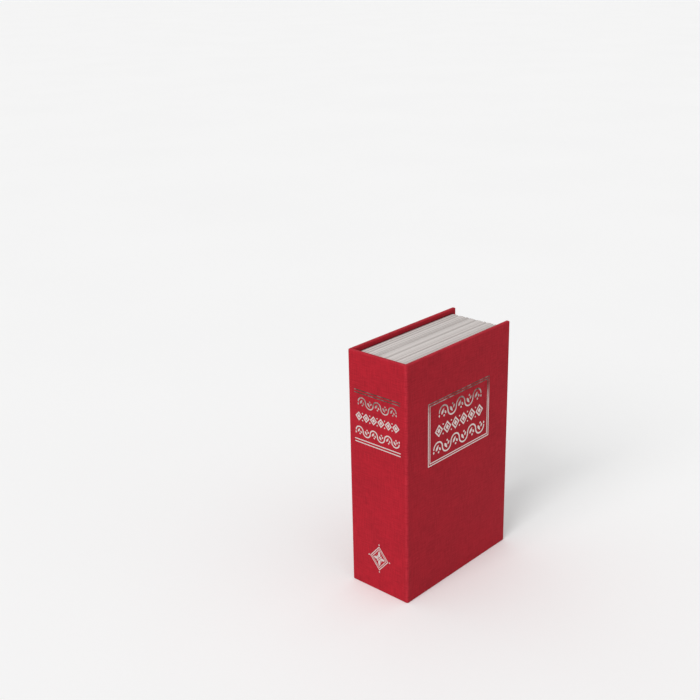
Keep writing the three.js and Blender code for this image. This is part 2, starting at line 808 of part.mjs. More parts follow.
// The lock's fixed body: a polished bezel and a barrel with two flats, bored for the plug.
function lockHousing() {
  const bore = PLUG_RADIUS + PLUG_CLEARANCE;
  const face = -BEZEL_HEIGHT;
  const barrel = solid(
    turned(
      [
        [bore, face + BEZEL_ROUND / 2],
        [bore + BEZEL_ROUND / 2, face],
        [BEZEL_RADIUS - 2 * BEZEL_ROUND, face],
        [BEZEL_RADIUS - 0.3 * BEZEL_ROUND, face + 0.3 * BEZEL_ROUND],
        [BEZEL_RADIUS, face + BEZEL_ROUND],
        [BEZEL_RADIUS, -STACK_GAP / 2],
        [BODY_RADIUS, -STACK_GAP / 2],
        [BODY_RADIUS, BODY_LENGTH - BEZEL_ROUND],
        [BODY_RADIUS - BEZEL_ROUND, BODY_LENGTH],
        [bore, BODY_LENGTH],
        [bore, face + BEZEL_ROUND / 2],
      ],
      40,
    ),
  );
  const slotHalf = WAFER_WIDTH / 2 + WAFER_CLEARANCE;
  const slotTall = BODY_RADIUS - 2 * BEZEL_ROUND;
  const flats = [-1, 1].map((side) =>
    solid(
      block(
        side > 0 ? BODY_FLAT : -BEZEL_RADIUS,
        side > 0 ? BEZEL_RADIUS : -BODY_FLAT,
        0,
        BODY_LENGTH + PAST,
        -BEZEL_RADIUS,
        BEZEL_RADIUS,
      ),
    ),
  );
  const slot = solid(
    block(-slotHalf, slotHalf, SHEET, BODY_LENGTH - SHEET, -slotTall, slotTall),
  );
  return piece("lock_housing", subtract(barrel, [...flats, slot]), materials.chrome);
}

function waferFrom(index) {
  return WAFER_START + index * WAFER_PITCH;
}

// The turning plug: keyway in front, a slot for each wafer, and a square tail that drives the cam.
function lockPlug() {
  const face = -BEZEL_HEIGHT + PLUG_RECESS;
  const tailHalf = PLUG_TAIL / 2;
  const barrel = solid(
    turned(
      [
        [0, face],
        [PLUG_RADIUS - PLUG_CHAMFER, face],
        [PLUG_RADIUS, face + PLUG_CHAMFER],
        [PLUG_RADIUS, BODY_LENGTH + STACK_GAP],
        [0, BODY_LENGTH + STACK_GAP],
      ],
      40,
    ),
  );
  const tail = solid(block(-tailHalf, tailHalf, BODY_LENGTH, camTo, -tailHalf, tailHalf));
  const keyway = solid(
    extrudeBack(bladeSection(KEYWAY_CLEARANCE), face - PAST, waferFrom(WAFER_COUNT)),
  );
  const slots = Array.from({ length: WAFER_COUNT }, (_, i) => {
    const half = WAFER_WIDTH / 2 + WAFER_CLEARANCE;
    const from = waferFrom(i) - WAFER_CLEARANCE;
    return solid(
      block(-half, half, from, from + WAFER + 2 * WAFER_CLEARANCE, -PLUG_RADIUS, PLUG_RADIUS),
    );
  });
  const tapped = new THREE.CylinderGeometry(SCREW_RADIUS, SCREW_RADIUS, 2 * SCREW_DEPTH, 16);
  tapped.translate(0, camTo, 0);
  const cut = subtract(barrel.add(tail), [keyway, ...slots, solid(tapped)]);
  return piece("lock_plug", cut, materials.zinc);
}

// One tumbler plate. Its window sits higher or lower than the next one's, as the key's cuts do.
function lockWafer(index) {
  const half = WAFER_WIDTH / 2;
  const from = waferFrom(index);
  const lift = WAFER_STEP * (index % 2 === 0 ? 1 : -1);
  const windowHalf = KEY / 2 + 2 * KEYWAY_CLEARANCE;
  const windowTall = BLADE_WIDTH / 2 - BITTING;
  const disc = new THREE.CylinderGeometry(
    PLUG_RADIUS - WAFER_CLEARANCE,
    PLUG_RADIUS - WAFER_CLEARANCE,
    WAFER,
    32,
  );
  disc.translate(0, from + WAFER / 2, 0);
  const start = from - PAST;
  const end = from + WAFER + PAST;
  const sides = solid(block(-half, half, start, end, -BEZEL_RADIUS, BEZEL_RADIUS));
  const window = solid(
    block(-windowHalf, windowHalf, start, end, lift - windowTall, lift + windowTall),
  );
  return piece(
    "lock_wafer_" + (index + 1),
    solid(disc).intersect(sides).subtract(window),
    materials.brass,
  );
}

// A toothed lock washer.
function lockWasher() {
  const steps = WASHER_TEETH * 2;
  const shape = new THREE.Shape();
  for (let i = 0; i < steps; i += 1) {
    const angle = (2 * Math.PI * i) / steps;
    const radius = i % 2 === 0 ? WASHER_RADIUS : WASHER_RADIUS - WASHER_TOOTH;
    const move = i === 0 ? "moveTo" : "lineTo";
    shape[move](radius * Math.cos(angle), radius * Math.sin(angle));
  }
  const hole = new THREE.Path();
  hole.absarc(0, 0, BODY_RADIUS + HOLE_CLEARANCE, 0, 2 * Math.PI, true);
  shape.holes.push(hole);
  const washer = extrudeBack(shape, washerFrom, washerFrom + WASHER, 0, 16);
  return piece("lock_washer", solid(washer), materials.zinc);
}

// The hexagon nut that clamps the lock to the lid, chamfered on its corners.
function lockNut() {
  const corner = NUT_FLATS / Math.sqrt(3);
  const hexagon = new THREE.CylinderGeometry(corner, corner, NUT, 6);
  hexagon.translate(0, nutFrom + NUT / 2, 0);
  const chamfer = turned(
    [
      [0, nutFrom],
      [NUT_FLATS / 2, nutFrom],
      [corner, nutFrom + NUT_CHAMFER],
      [corner, nutFrom + NUT - NUT_CHAMFER],
      [NUT_FLATS / 2, nutFrom + NUT],
      [0, nutFrom + NUT],
    ],
    36,
  );
  const thread = BODY_RADIUS + HOLE_CLEARANCE;
  const bore = new THREE.CylinderGeometry(thread, thread, NUT + 2 * PAST, 32);
  bore.translate(0, nutFrom + NUT / 2, 0);
  return piece("lock_nut", solid(hexagon).intersect(solid(chamfer)).subtract(solid(bore)), materials.zinc);
}

// The cam at rest points up, clear of the strike; a quarter turn brings it behind the strike.
function lockCam() {
  const half = CAM_WIDTH / 2;
  const tip = half * 0.75;
  const shape = new THREE.Shape();
  shape.moveTo(half, 0);
  shape.lineTo(tip, camReach - tip * 0.5);
  shape.quadraticCurveTo(tip, camReach, tip * 0.5, camReach);
  shape.lineTo(-tip * 0.5, camReach);
  shape.quadraticCurveTo(-tip, camReach, -tip, camReach - tip * 0.5);
  shape.lineTo(-half, 0);
  shape.absarc(0, 0, half, Math.PI, 2 * Math.PI);
  const square = PLUG_TAIL / 2 + HOLE_CLEARANCE;
  shape.holes.push(
    new THREE.Path([
      new THREE.Vector2(-square, -square),
      new THREE.Vector2(-square, square),
      new THREE.Vector2(square, square),
      new THREE.Vector2(square, -square),
    ]),
  );
  const cam = extrudeBack(shape, camFrom, camTo, 0, 10);
  return piece("lock_cam", solid(cam), materials.zinc);
}

function camScrew() {
  const seat = camTo + STACK_GAP;
  const shank = SCREW_RADIUS - HOLE_CLEARANCE;
  const screw = turned(
    [
      [0, camTo - SCREW_DEPTH + 2 * STACK_GAP],
      [shank, camTo - SCREW_DEPTH + 2 * STACK_GAP],
      [shank, seat],
      [SCREW_HEAD, seat],
      [SCREW_HEAD, seat + 0.5 * SCREW_HEAD_HEIGHT],
      [SCREW_HEAD * 0.85, seat + 0.85 * SCREW_HEAD_HEIGHT],
      [SCREW_HEAD * 0.55, seat + SCREW_HEAD_HEIGHT],
      [0, seat + SCREW_HEAD_HEIGHT],
    ],
    24,
  );
  const slot = solid(
    block(
      -SCREW_HEAD - PAST,
      SCREW_HEAD + PAST,
      seat + 0.5 * SCREW_HEAD_HEIGHT,
      seat + SCREW_HEAD_HEIGHT + PAST,
      -SCREW_SLOT / 2,
      SCREW_SLOT / 2,
    ),
  );
  return piece("cam_screw", solid(screw).subtract(slot), materials.zinc);
}

// The whole lock, built with its axis on Y and the lid's outer face at zero.
function camLock() {
  const group = new THREE.Group();
  group.add(lockHousing(), lockPlug(), lockWasher(), lockNut(), lockCam(), camScrew());
  for (let i = 0; i < WAFER_COUNT; i += 1) group.add(lockWafer(i));
  group.position.set(lockX, lidFaceY, lockZ);
  return group;
}

// Place along the blade of the cut that lifts one wafer.
function cutX(tipX, index) {
  return tipX - FIRST_CUT - (WAFER_COUNT - 0.5 - index) * WAFER_PITCH;
}

// Draws one cut on the lower (-1) or upper (1) edge of the blade, in the direction that edge is drawn in.
function keyCut(shape, x, edge, step) {
  const half = BLADE_WIDTH / 2;
  const depth = BITTING * CUT_STEPS[step % CUT_STEPS.length];
  const mouth = 0.45 * WAFER_PITCH * edge;
  const root = 0.15 * WAFER_PITCH * edge;
  shape.lineTo(x + mouth, edge * half);
  shape.lineTo(x + root, edge * (half - depth));
  shape.lineTo(x - root, edge * (half - depth));
  shape.lineTo(x - mouth, edge * half);
}

// Outline of a key with its hole's centre at zero and its blade pointing along +X.
function keyOutline() {
  const bowX = BOW_RADIUS - KEY_RIM - KEY_HOLE;
  const collarX = bowX + BOW_RADIUS + COLLAR_LENGTH;
  const neck = COLLAR_WIDTH / 2;
  const leave = Math.asin(neck / BOW_RADIUS);
  const half = BLADE_WIDTH / 2;
  const tipX = collarX + BLADE_LENGTH;
  const shape = new THREE.Shape();
  shape.absarc(bowX, 0, BOW_RADIUS, leave, 2 * Math.PI - leave);
  shape.lineTo(collarX - COLLAR_LENGTH / 3, -neck);
  shape.lineTo(collarX, -neck + KEY_EAR);
  shape.lineTo(collarX, -half);
  for (let i = 0; i < WAFER_COUNT; i += 1) keyCut(shape, cutX(tipX, i), -1, i);
  shape.lineTo(tipX - KEY_POINT, -half);
  shape.lineTo(tipX, -KEY_POINT_WIDTH / 2);
  shape.lineTo(tipX, KEY_POINT_WIDTH / 2);
  shape.lineTo(tipX - KEY_POINT, half);
  for (let i = WAFER_COUNT - 1; i >= 0; i -= 1) keyCut(shape, cutX(tipX, i), 1, i + 1);
  shape.lineTo(collarX, half);
  shape.lineTo(collarX, neck - KEY_EAR);
  shape.lineTo(collarX - COLLAR_LENGTH / 3, neck);
  const hole = new THREE.Path();
  hole.absarc(0, 0, KEY_HOLE, 0, 2 * Math.PI, true);
  shape.holes.push(hole);
  return { shape, collarX, tipX };
}

// A flat key lying in X and Y with its underside at zero.
function keyBody(name) {
  const { shape, collarX, tipX } = keyOutline();
  const blank = solid(extrudeUp(shape, 0, KEY, 0, 16));
  const grooveFrom = collarX - COLLAR_LENGTH / 2;
  const halfGroove = GROOVE_WIDTH / 2;
  const grooves = [
    block(grooveFrom, tipX + PAST, -halfGroove, halfGroove, -PAST, GROOVE_DEPTH),
    block(grooveFrom, tipX + PAST, -halfGroove, halfGroove, KEY - GROOVE_DEPTH, KEY + PAST),
  ];
  return piece(name, subtract(blank, grooves.map(solid)), materials.zinc);
}

// Where the ring's wire crosses a plate whose underside is at height: the hole's centre from the ring's middle.
function holeReach(height) {
  const centreZ = RING_RADIUS + RING_WIRE;
  const outer = RING_RADIUS + RING_WIRE;
  const top = height + KEY + KEY_CLEARANCE;
  const farEdge = Math.sqrt(outer * outer - (centreZ - top) ** 2);
  return farEdge - KEY_HOLE + KEY_CLEARANCE;
}

// Both keys on their ring, lying on the lower wall of the box.
function keysOnRing() {
  const group = new THREE.Group();
  const ring = new THREE.TorusGeometry(RING_RADIUS, RING_WIRE, 8, 40);
  const ringMesh = piece("key_ring", ring, materials.zinc);
  ringMesh.rotation.x = Math.PI / 2;
  ringMesh.position.z = RING_RADIUS + RING_WIRE;
  group.add(ringMesh);
  const lowest = 2 * RING_WIRE + KEY_CLEARANCE;
  const heights = [lowest, lowest + KEY + 2 * KEY_CLEARANCE];
  const spread = THREE.MathUtils.degToRad(KEY_SPREAD);
  heights.forEach((height, i) => {
    const side = i === 0 ? 1 : -1;
    const key = keyBody("key_" + (i + 1));
    const turn = new THREE.Group();
    key.rotation.y = THREE.MathUtils.degToRad(KEY_TILTS[i]);
    turn.add(key);
    turn.rotation.z = side > 0 ? spread : Math.PI - spread;
    turn.position.set(side * holeReach(height), 0, height);
    group.add(turn);
  });
  const floorZ = box.z0 + SHEET + GLUE;
  group.position.set((box.x0 + box.x1) / 2, (box.y0 + box.y1) / 2 - KEYS_FORWARD, floorZ);
  return group;
}

const book = new THREE.Group();
book.add(frontCover(), spineAndBack(), pageFrame());
book.add(boxTray(), boxLid(), hingeLeaf(), hingePin(), strikeBracket());
rivetPlaces().forEach((place, i) => book.add(trayRivet(i + 1, place)));
book.add(camLock(), keysOnRing());

export default book;
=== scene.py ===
"""The looks of a hardback-book safe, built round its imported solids.

Sizes in the classes are in millimetres and are turned to metres where a mesh or a pattern is made.
"""

import enum
import json
import logging
import math
import random
from collections.abc import Iterable, Sequence
from dataclasses import dataclass, field

import bmesh
import bpy
from bmesh.types import BMEdge, BMesh, BMFace, BMVert
from bpy.types import Material, Node, NodeSocket, NodeTree, Object
from mathutils import Euler, Matrix, Vector
from mathutils.geometry import intersect_point_line

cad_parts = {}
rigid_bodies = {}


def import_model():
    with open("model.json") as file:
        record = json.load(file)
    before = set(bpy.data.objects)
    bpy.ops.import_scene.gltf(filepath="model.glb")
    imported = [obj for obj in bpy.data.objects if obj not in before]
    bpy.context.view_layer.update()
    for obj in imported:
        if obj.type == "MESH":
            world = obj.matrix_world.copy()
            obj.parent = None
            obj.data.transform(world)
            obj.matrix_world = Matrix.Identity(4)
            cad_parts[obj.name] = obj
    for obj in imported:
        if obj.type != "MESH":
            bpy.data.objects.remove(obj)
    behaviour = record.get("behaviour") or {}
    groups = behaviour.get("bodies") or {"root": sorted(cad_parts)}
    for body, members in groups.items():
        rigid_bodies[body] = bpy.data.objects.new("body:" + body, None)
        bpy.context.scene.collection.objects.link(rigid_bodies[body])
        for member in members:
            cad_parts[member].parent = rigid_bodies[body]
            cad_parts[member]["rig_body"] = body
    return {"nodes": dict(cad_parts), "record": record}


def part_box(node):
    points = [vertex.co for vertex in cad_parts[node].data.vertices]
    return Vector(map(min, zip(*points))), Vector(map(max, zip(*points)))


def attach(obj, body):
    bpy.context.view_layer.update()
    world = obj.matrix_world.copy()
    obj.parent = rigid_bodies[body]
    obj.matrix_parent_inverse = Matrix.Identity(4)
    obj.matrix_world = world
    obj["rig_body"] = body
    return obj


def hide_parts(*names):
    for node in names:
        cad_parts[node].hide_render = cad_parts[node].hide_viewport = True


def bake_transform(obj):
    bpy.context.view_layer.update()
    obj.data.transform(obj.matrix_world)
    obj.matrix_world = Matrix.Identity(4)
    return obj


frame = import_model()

LOG = logging.getLogger("book_safe")
MM = 0.001
MERGE = 1e-6  # corners nearer to each other than this, in metres, are one
TOUCH = 1e-7  # the same where a cut or a turn leaves them on one spot
NEAR = 0.02 * MM  # how near to a place an edge is looked for
WEAVE = "weave"
SHARE, FROM, TO = 0, 6, 7  # the inputs of a Mix node that mixes colours
Inputs = dict[str | int, object]  # what feeds a node, by the name or number of its input


def linear(hex_colour: str) -> tuple[float, float, float, float]:
    """Turns an sRGB hex colour into the linear values that a shader takes.

    Args:
        hex_colour: The colour as "#rrggbb".

    Returns:
        Red, green, blue and an alpha of 1.
    """
    channels = [int(hex_colour[i : i + 2], 16) / 255 for i in (1, 3, 5)]
    red, green, blue = (c / 12.92 if c <= 0.04045 else ((c + 0.055) / 1.055) ** 2.4 for c in channels)
    return red, green, blue, 1.0


def feed(tree: NodeTree, node: Node, inputs: Inputs) -> None:
    """Gives a node its inputs.

    Args:
        tree: The node tree.
        node: The node that is fed.
        inputs: Socket name or number to a value, an output, or a node, which feeds from its first live output.
    """
    for socket, source in inputs.items():
        if isinstance(source, Node):
            source = next(output for output in source.outputs if output.enabled)
        if isinstance(source, NodeSocket):
            tree.links.new(source, node.inputs[socket])
        else:
            node.inputs[socket].default_value = source


def add_node(tree: NodeTree, kind: str, inputs: Inputs | None = None, **settings: object) -> Node:
    """Adds one shader node with its settings, values and links.

    Args:
        tree: The node tree.
        kind: The node's type name, without "ShaderNode".
        inputs: What feeds it, as for feed.
        **settings: The node's own properties.

    Returns:
        The new node.
    """
    node = tree.nodes.new("ShaderNode" + kind)
    for name, value in settings.items():
        setattr(node, name, value)
    feed(tree, node, inputs or {})
    return node


def seen_rays(tree: NodeTree) -> Node:
    """Tells the rays that show a surface, straight or in metal or glass, from those that it lights.

    Args:
        tree: The node tree of the floor's material or of the world.

    Returns:
        A node that gives 1 for a ray that shows, and 0 for one that lights.
    """
    rays = add_node(tree, "LightPath").outputs
    share = rays["Is Camera Ray"]
    for name in ("Is Glossy Ray", "Is Transmission Ray"):
        share = add_node(tree, "Math", {0: share, 1: rays[name]}, operation="MAXIMUM")
    return share


@dataclass(frozen=True)
class Finish:
    """What every finish has: a name, a colour and how it takes light."""

    name: str
    colour: str
    roughness: float
    metallic: float = 0.0

    def build(self) -> Material:
        """Builds the material with the finish's own pattern.

        Returns:
            The material.
        """
        material = bpy.data.materials.new(self.name)
        material.use_nodes = True
        tree = material.node_tree
        tree.nodes.clear()
        plain = {"Base Color": linear(self.colour), "Roughness": self.roughness, "Metallic": self.metallic}
        shader = add_node(tree, "BsdfPrincipled", plain)
        add_node(tree, "OutputMaterial", {"Surface": shader})
        self.pattern(tree, shader, add_node(tree, "TexCoord").outputs["Object"])
        return material

    def pattern(self, tree: NodeTree, shader: Node, place: NodeSocket) -> None:
        """Adds the finish's own colours, marks and bump.

        Args:
            tree: The material's node tree.
            shader: Its shader.
            place: The Object coordinates, in metres.
        """
        raise NotImplementedError

    def dress(
        self, tree: NodeTree, shader: Node, colour: Node, rough: Inputs, relief: Node, strength: float, depth: float
    ) -> None:
        """Feeds the shader its colour, its uneven roughness and its bump.

        Args:
            tree: The material's node tree.
            shader: Its shader.
            colour: The colour's node.
            rough: A pattern as Value, and the ranges that turn it into roughness.
            relief: The node that gives the bump's height.
            strength: The bump's strength.
            depth: Its depth in millimetres.
        """
        uneven = add_node(tree, "MapRange", rough)
        bump = add_node(tree, "Bump", {"Strength": strength, "Distance": depth * MM, "Height": relief})
        feed(tree, shader, {"Base Color": colour, "Roughness": uneven, "Normal": bump})


@dataclass(frozen=True)
class BookCloth(Finish):
    """Starched linen book cloth, dyed red: a plain weave with slubs, paler along the boards' edges."""

    deep: str = "#8e1120"
    pale_edge: str = "#c23341"
    bloom: str = "#e08a92"
    thread: float = 0.9
    waver: float = 4.0
    slub_width: float = 0.8
    slub_length: float = 9.0
    cloud: float = 26.0
    half_height: float = 90.0
    fore_edge: float = 58.5
    joint_edge: float = 83.7
    pale_width: float = 1.3

    def pattern(self, tree: NodeTree, shader: Node, place: NodeSocket) -> None:
        """Weaves the cloth. Its thread is drawn at 0.9 mm, twice the real one, so that it shows.

        Args:
            tree: The material's node tree.
            shader: Its shader.
            place: The Object coordinates, in metres.
        """
        sheen = {"Sheen Weight": 0.05, "Sheen Roughness": 0.5, "Sheen Tint": linear(self.bloom)}
        feed(tree, shader, {**sheen, "Specular IOR Level": 0.18})
        flat = add_node(tree, "UVMap", uv_map=WEAVE)
        waver = add_node(tree, "TexNoise", {"Scale": 1 / (self.waver * MM), "Detail": 1.0, "Vector": flat})
        threads = []
        for way in add_node(tree, "SeparateXYZ", {0: flat}).outputs[0:2]:
            phase = add_node(tree, "Math", {0: way, 1: 2 * math.pi / (self.thread * MM)}, operation="MULTIPLY")
            uneven = add_node(tree, "Math", {0: waver, 1: 7.0, 2: phase}, operation="MULTIPLY_ADD")
            threads.append(add_node(tree, "Math", {0: uneven}, operation="SINE"))
        weave = add_node(tree, "Math", {0: threads[0], 1: threads[1]}, operation="MULTIPLY")
        slubs = []
        for across, along in ((self.slub_width, self.slub_length), (self.slub_length, self.slub_width)):
            scale = [1 / (size * MM) for size in (across, along, 1)]
            stretched = add_node(tree, "Mapping", {"Scale": scale, "Vector": flat})
            slubs.append(add_node(tree, "TexNoise", {"Scale": 1.0, "Detail": 2.0, "Vector": stretched}))
        yarn = add_node(tree, "Math", {0: slubs[0], 1: slubs[1]}, operation="ADD")
        height = add_node(tree, "Math", {0: weave, 1: 0.35, 2: yarn}, operation="MULTIPLY_ADD")
        cloud = add_node(tree, "TexNoise", {"Scale": 1 / (self.cloud * MM), "Detail": 3.0, "Vector": place})
        tone = add_node(tree, "Math", {0: cloud, 1: 0.6, 2: height}, operation="MULTIPLY_ADD")
        share = add_node(tree, "MapRange", {"Value": tone, "From Min": 0.85, "From Max": 1.65})
        dyes = {SHARE: share, FROM: linear(self.deep), TO: linear(self.colour)}
        dyed = add_node(tree, "Mix", dyes, data_type="RGBA")
        # The cloth is drawn paler in patches along the boards' edges.
        edging = {SHARE: self.pale_edge_share(tree, place, yarn), FROM: dyed, TO: linear(self.pale_edge)}
        pale_edge = add_node(tree, "Mix", edging, data_type="RGBA")
        rough = {"To Min": self.roughness + 0.08, "To Max": self.roughness - 0.08}
        rough |= {"Value": height, "From Min": 0.6, "From Max": 1.4}
        self.dress(tree, shader, pale_edge, rough, height, strength=0.5, depth=0.06)

    def pale_edge_share(self, tree: NodeTree, place: NodeSocket, grain: Node) -> Node:
        """Finds the strips along the boards' edges where the cloth is drawn paler.

        Args:
            tree: The material's node tree.
            place: The Object coordinates.
            grain: A noise of about 1 that breaks the paler strips up.

        Returns:
            The paler colour's share, from 0 to about 0.5.
        """
        x, y, z = add_node(tree, "SeparateXYZ", {0: place}).outputs
        from_middle = add_node(tree, "Math", {0: z, 1: self.half_height * MM}, operation="SUBTRACT")
        up = add_node(tree, "Math", {0: from_middle}, operation="ABSOLUTE")
        depth = add_node(tree, "Math", {0: y}, operation="ABSOLUTE")
        corner = add_node(tree, "Math", {0: depth, 1: x}, operation="SUBTRACT")
        graded = None
        for way, edge in ((up, self.half_height), (x, self.fore_edge), (corner, self.joint_edge)):
            strip = {"Value": way, "From Min": (edge - self.pale_width) * MM, "From Max": edge * MM}
            mask = add_node(tree, "MapRange", strip, interpolation_type="SMOOTHSTEP")
            graded = add_node(tree, "Math", {0: graded, 1: mask}, operation="MAXIMUM") if graded else mask
        patchy = {"Value": grain, "From Min": 0.7, "From Max": 1.3, "To Min": 0.05, "To Max": 0.45}
        return add_node(tree, "Math", {0: graded, 1: add_node(tree, "MapRange", patchy)}, operation="MULTIPLY")


@dataclass(frozen=True)
class StampedFoil(Finish):
    """Silver blocking foil on cloth: a thin bright film that takes the weave, with painted shade that darkens it
    towards the top.
    """

    dark: str = "#4e413a"
    dull: str = "#9f9490"
    patch: float = 4.5
    thread: float = 0.9
    shade_above: float = 144.0
    bright: float = 122.0
    fore_edge_lag: float = 0.12

    def pattern(self, tree: NodeTree, shader: Node, place: NodeSocket) -> None:
        """Paints shade on the foil: dark towards the top, then dull, then bright, with an uneven border.

        Args:
            tree: The material's node tree.
            shader: Its shader.
            place: The Object coordinates, in metres.
        """
        # Painted shade: the foil is drawn dark brown at the top, through dull grey to its bright colour lower down, a
        # little later towards the fore-edge.
        up = add_node(tree, "VectorMath", {0: place, 1: (self.fore_edge_lag, 0, 1)}, operation="DOT_PRODUCT")
        ends = {"From Min": self.shade_above * MM, "From Max": self.bright * MM}
        down = add_node(tree, "MapRange", {"Value": up, **ends})
        spots = {"Scale": 1 / (self.patch * MM), "Detail": 4.0, "Roughness": 0.65, "Vector": place}
        patches = add_node(tree, "TexNoise", spots)
        grain = add_node(tree, "TexNoise", {"Scale": 1 / (self.thread * MM), "Detail": 2.0, "Vector": place})
        uneven = add_node(tree, "Math", {0: patches, 1: 1.1, 2: down}, operation="MULTIPLY_ADD")
        lit_share = add_node(tree, "MapRange", {"Value": uneven, "From Min": 0.52, "From Max": 0.85})
        polished = add_node(tree, "MapRange", {"Value": uneven, "From Min": 0.75, "From Max": 1.3})
        painted_shade = {SHARE: lit_share, FROM: linear(self.dark), TO: linear(self.dull)}
        graded = add_node(tree, "Mix", painted_shade, data_type="RGBA")
        # polished is the share of the foil's own bright colour below the painted shade.
        film = add_node(tree, "Mix", {SHARE: polished, FROM: graded, TO: linear(self.colour)}, data_type="RGBA")
        rough = {"Value": grain, "To Min": self.roughness, "To Max": self.roughness + 0.25}
        self.dress(tree, shader, film, rough, grain, strength=0.4, depth=0.04)


@dataclass(frozen=True)
class FibrousSheet(Finish):
    """Uncoated paper or greyboard: matt pulp with short fibres."""

    fibre: str = "#5c141d"
    fibre_length: float = 1.6
    fibre_width: float = 0.25

    def pattern(self, tree: NodeTree, shader: Node, place: NodeSocket) -> None:
        """Lays the fibres as stretched, slightly tangled noise.

        Args:
            tree: The material's node tree.
            shader: Its shader.
            place: The Object coordinates, in metres.
        """
        feed(tree, shader, {"Specular IOR Level": 0.2})
        scale = [1 / (size * MM) for size in (self.fibre_width, self.fibre_width, self.fibre_length)]
        stretched = add_node(tree, "Mapping", {"Rotation": (0.3, 0.5, 0.7), "Scale": scale, "Vector": place})
        tangle = {"Scale": 1.0, "Detail": 3.0, "Distortion": 0.6, "Vector": stretched}
        pulp = add_node(tree, "TexNoise", tangle)
        share = add_node(tree, "MapRange", {"Value": pulp, "From Min": 0.3, "From Max": 0.65})
        mix = {SHARE: share, FROM: linear(self.fibre), TO: linear(self.colour)}
        rough = {"Value": pulp, "To Min": self.roughness + 0.05, "To Max": self.roughness - 0.12}
        colour = add_node(tree, "Mix", mix, data_type="RGBA")
        self.dress(tree, shader, colour, rough, pulp, strength=0.5, depth=0.05)


@dataclass(frozen=True)
class MouldedPages(Finish):
    """White styrene moulded with page lines along its edges: satin, with painted shade in the furrows and grey
    specks.
    """

    shade_and_speck: str = "#a39d99"
    line: str = "#857e7a"
    leaf: float = 1.5
    bend: float = 60.0
    sway: float = 1.2
    grain: float = 1.4
    half_height: float = 90.0
    crest_height: float = 87.0
    crest_reach: float = 54.0
    crest_depth: float = 0.15
    rib_depth: float = 0.9
    below_ribs: float = 0.3
    rim: float = -22.2

    def pattern(self, tree: NodeTree, shader: Node, place: NodeSocket) -> None:
        """Draws the page lines from a noise of 1.5 mm, because real leaves are too thin to show.

        Args:
            tree: The material's node tree.
            shader: Its shader.
            place: The Object coordinates, in metres.
        """
        axes = add_node(tree, "SeparateXYZ", {0: place}).outputs
        drift = add_node(tree, "TexNoise", {"Scale": 1 / (self.bend * MM), "Detail": 1.0, "Vector": place})
        depth = add_node(tree, "Math", {0: drift, 1: self.sway * MM, 2: axes[1]}, operation="MULTIPLY_ADD")
        fine = {"Scale": 1 / (self.leaf * MM), "Detail": 2.5, "Roughness": 0.7, "W": depth}
        leaves = add_node(tree, "TexNoise", fine, noise_dimensions="1D")
        lines = add_node(tree, "MapRange", {"Value": leaves, "From Min": 0.28, "From Max": 0.5})
        rim = add_node(tree, "Math", {0: axes[1], 1: self.rim * MM}, operation="LESS_THAN")
        plain = add_node(tree, "Math", {0: lines, 1: rim}, operation="MAXIMUM")
        printed = {SHARE: plain, FROM: linear(self.line), TO: linear(self.colour)}
        colour = add_node(tree, "Mix", printed, data_type="RGBA")
        gritty = {"Scale": 1 / (self.grain * MM), "Detail": 4.0, "Roughness": 0.6, "Vector": place}
        grain = add_node(tree, "TexNoise", gritty)
        specks = add_node(tree, "MapRange", {"Value": grain, "From Min": 0.45, "From Max": 0.8, "To Max": 0.14})
        # Painted shade in the furrows, then grey specks, both mixed towards the same grey.
        for share in (self.painted_furrow_shade(tree, axes), specks):
            shade_and_specks = {SHARE: share, FROM: colour, TO: linear(self.shade_and_speck)}
            colour = add_node(tree, "Mix", shade_and_specks, data_type="RGBA")
        rough = {"Value": grain, "To Min": self.roughness - 0.12, "To Max": self.roughness + 0.12}
        relief = add_node(tree, "Math", {0: grain, 1: 0.3, 2: leaves}, operation="MULTIPLY_ADD")
        self.dress(tree, shader, colour, rough, relief, strength=0.6, depth=0.12)

    def painted_furrow_shade(self, tree: NodeTree, axes: Sequence[NodeSocket]) -> Node:
        """Paints shade in the furrows, darker the further a point lies below the crests of the ribs.

        Args:
            tree: The material's node tree.
            axes: The Object coordinates, one by one.

        Returns:
            The share of the painted shade's colour.
        """
        from_middle = add_node(tree, "Math", {0: axes[2], 1: self.half_height * MM}, operation="SUBTRACT")
        up = add_node(tree, "Math", {0: from_middle}, operation="ABSOLUTE")
        above = add_node(tree, "Math", {0: up, 1: self.crest_height * MM}, operation="SUBTRACT")
        beyond = add_node(tree, "Math", {0: axes[0], 1: self.crest_reach * MM}, operation="SUBTRACT")
        level = add_node(tree, "Math", {0: above, 1: beyond}, operation="MAXIMUM")
        ends = {"From Min": -self.crest_depth * MM, "From Max": -self.rib_depth * MM, "To Max": 0.8}
        deep = add_node(tree, "MapRange", {"Value": level, **ends})
        lowest = -(self.rib_depth + self.below_ribs) * MM
        outside = add_node(tree, "Math", {0: level, 1: lowest}, operation="GREATER_THAN")
        return add_node(tree, "Math", {0: deep, 1: outside}, operation="MULTIPLY")


